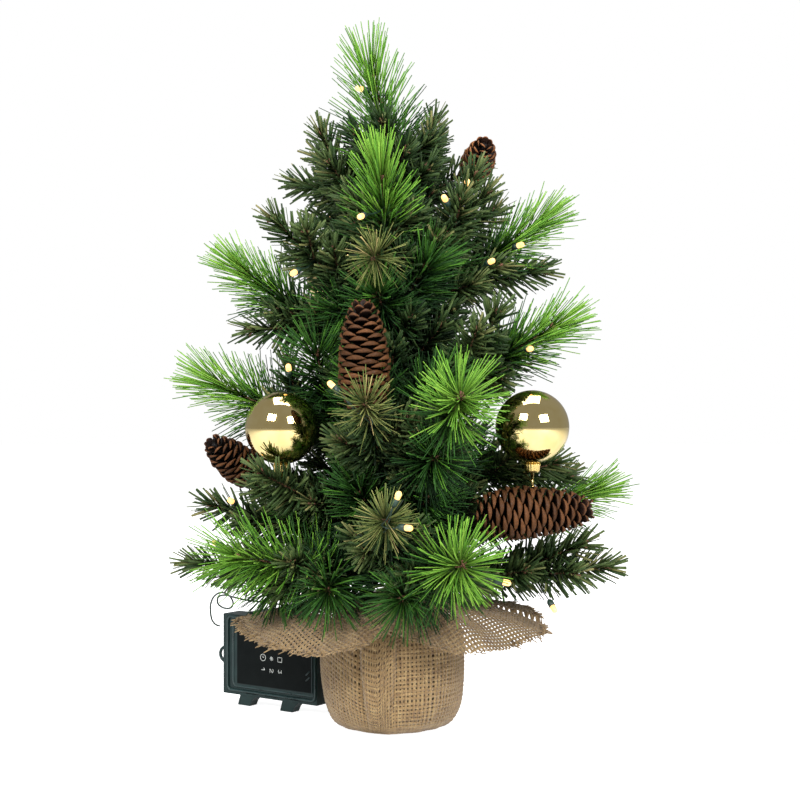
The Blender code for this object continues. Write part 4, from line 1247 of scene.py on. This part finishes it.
def build_marks(paint):
    """Generic timer, lamp and off signs over switch positions 1, 2 and 3."""
    heap = Heap()
    turns = np.linspace(0, tau, 17)[:-1]
    dial = [(-0.0045 + 0.0030 * cos(a), 0.0460 + 0.0030 * sin(a)) for a in turns]
    stroke(heap, dial, True)
    stroke(heap, [(-0.0045, 0.0476), (-0.0045, 0.0460), (-0.0032, 0.0460)])
    for a in turns[::2]:
        stroke(heap, [(0.0054 + r * cos(a), 0.0458 + r * sin(a))
                      for r in (0.0004, 0.0020)])
    stroke(heap, [(0.0124, 0.0436), (0.0170, 0.0436), (0.0170, 0.0476), (0.0124, 0.0476)], True)
    digits = {
        -0.0045: ((-0.8, 0.5), (0.0, 1.0), (0.0, -1.0)),
        0.0054: ((-0.7, 0.7), (0.0, 1.0), (0.7, 0.5), (-0.7, -1.0), (0.8, -1.0)),
        0.0148: ((-0.7, 0.9), (0.5, 0.9), (-0.1, 0.1), (0.6, -0.4), (0.0, -1.0), (-0.7, -0.7)),
    }
    for middle, lines in digits.items():        # they lie on their side
        stroke(heap, [(middle + z * 0.0019, 0.0350 - x * 0.0024) for x, z in lines])
    heap.piece("box_marks", "base", [paint], smooth=True)


def build_beads(plastic):
    """Moulded beads round the stepped front of the case, and two grip ribs."""
    heap = Heap()
    for left, bottom, right, top in CASE_BEADS:
        route = []
        for x, z, start in ((right, top, 0), (left, top, 1), (left, bottom, 2), (right, bottom, 3)):
            inward = (copysign(BEAD_CORNER, x - (left + right) / 2),
                      copysign(BEAD_CORNER, z - (bottom + top) / 2))
            for a in np.linspace(start, start + 1, 6) * pi / 2:
                route.append((x - inward[0] + BEAD_CORNER * cos(a),
                              z - inward[1] + BEAD_CORNER * sin(a)))
        route.append(route[0])
        heap.tube([on_box(x, BEAD_DEPTH, z) for x, z in route], BEAD_RADIUS)
    for z in RIB_HEIGHTS:
        ends = zip(RIB_ENDS, (z, z + 0.004))
        heap.tube([on_box(x, BEAD_DEPTH - 0.0020, up) for x, up in ends], RIB_RADIUS)
    heap.piece("case_beads", "base", [plastic], "case_green", smooth=True)


def finish_cad(finishes):
    """Gives each CAD node that stays in view its material, and softens moulded edges."""
    for finish, nodes in finishes.items():
        for node in nodes:
            for place in frame["nodes"][node].material_slots:
                place.material = finish
    for node in ("battery_case", "battery_lid", "latch_left", "latch_right", "mode_switch"):
        soft = frame["nodes"][node].modifiers.new("edges", "BEVEL")
        soft.width = EDGE_ROUND
        soft.segments = 2
        soft.limit_method = "ANGLE"
        soft.angle_limit = radians(40)


# ---- stage

def build_stage():
    mesh = bpy.data.meshes.new("floor")
    corners = ((-1, -1), (1, -1), (1, 1), (-1, 1))
    mesh.from_pydata([(x * FLOOR_HALF, y * FLOOR_HALF, 0) for x, y in corners], [], [range(4)])
    mesh.materials.append(floor_white())
    floor = link("floor", mesh, (0.0, 0.0, -0.0005))


def add_light(name, place, size, power):
    light = bpy.data.lights.new(name, "AREA")
    light.shape = "RECTANGLE"
    light.size, light.size_y = size
    light.energy = power
    way = Vector((0.0, 0.0, 0.28)) - Vector(place)
    link(name, light, place).rotation_euler = way.to_track_quat("-Z", "Y").to_euler()


def build_light():
    """A white surround, dimmer for what it lights than for what the camera sees of it."""
    world = bpy.data.worlds.new("surround")
    world.use_nodes = True
    nodes, links = world.node_tree.nodes, world.node_tree.links
    lit, seen = nodes["Background"], nodes.new("ShaderNodeBackground")
    for glow in (lit, seen):
        glow.inputs["Color"].default_value = (1.0, 1.0, 1.0, 1.0)
    lit.inputs["Strength"].default_value = SURROUND_GLOW
    mix = nodes.new("ShaderNodeMixShader")
    for i, node in enumerate((nodes.new("ShaderNodeLightPath"), lit, seen)):
        links.new(node.outputs["Is Camera Ray" if i == 0 else 0], mix.inputs[i])
    links.new(mix.outputs[0], nodes["World Output"].inputs["Surface"])
    bpy.context.scene.world = world
    for light in LIGHTS:
        add_light(*light)


def build_camera():
    lens = bpy.data.cameras.new("camera")
    lens.lens = LENS
    lens.sensor_width = 36.0
    camera = link("camera", lens, EYE)
    camera.rotation_euler = (pi / 2, 0.0, 0.0)
    bpy.context.scene.camera = camera
    bpy.context.scene.view_settings.view_transform = "Standard"


# ---- the whole tree

rng = np.random.default_rng(SEED)

build_camera()
build_light()
build_stage()

dark_green = moulded_plastic("wire_green", (0.005, 0.020, 0.012), 0.42)
jute = burlap("jute", 0.60)
build_lead(dark_green)

foliage = foliage_finishes()
build_branches(foliage)
build_leader(foliage)
build_inner(foliage)

cone_brown, cone_pale = pinecone_brown("pinecone_brown"), pinecone_brown("pinecone_pale", 2.4)
for cone_name, cone_shape in CONES.items():
    build_cone(cone_name, *cone_shape, cone_pale if cone_name == "cone_top" else cone_brown)

gold, crimped_gold = gold_mirror(), gold_cap()
for bauble_side in ("left", "right", "back"):
    build_bauble(bauble_side, gold, crimped_gold)

build_lamps(lamp_glow(), dark_green)

build_sack(burlap("burlap", 0.66))
# painted shade: the collar's jute tone is lower (0.62 against the sack's 0.66) for the shade under
# the foliage
build_collar(burlap("burlap_loose", 0.62))
build_tie(jute)

build_marks(moulded_plastic("mark_paint", (0.55, 0.58, 0.56), 0.6))
case = case_plastic()
build_beads(moulded_plastic("case_bead", (0.010, 0.026, 0.026), 0.30))
finish_cad({
    case: ["battery_case", "battery_lid", "latch_left", "latch_right", "hanging_loop",
           "cable_gland"],
    moulded_plastic("switch_knob", (0.010, 0.014, 0.014), 0.45): ["mode_switch"],
    moulded_plastic("seal_rubber", (0.030, 0.030, 0.030), 0.80): ["lid_seal"],
    moulded_plastic("pot_brown", (0.060, 0.034, 0.016), 0.60): ["base_pot"],
    grained("plaster_grey", 0.9, 0.003, 6.0, 0.0006, (0.3, (0.42, 0.40, 0.37)),
            (0.7, (0.62, 0.60, 0.56))): ["base_weight"],
    grained("trunk_brown", 0.8, 0.0020, 5.0, 0.0006, (0.3, (0.035, 0.018, 0.010)),
            (0.7, (0.13, 0.06, 0.03)), stretch=(1.0, 1.0, 0.15)): ["trunk_pole"],
    dark_green: ["light_string"],
    cell_sleeve(): ["battery_cell_1", "battery_cell_2", "battery_cell_3"],
    board_green(): ["circuit_board"],
    brushed_metal("contact_steel", (0.70, 0.69, 0.66), 0.30): ["contact_plate"],
    brushed_metal("pin_steel", (0.62, 0.62, 0.62), 0.28): ["hinge_pin"],
})

bpy.context.view_layer.update()
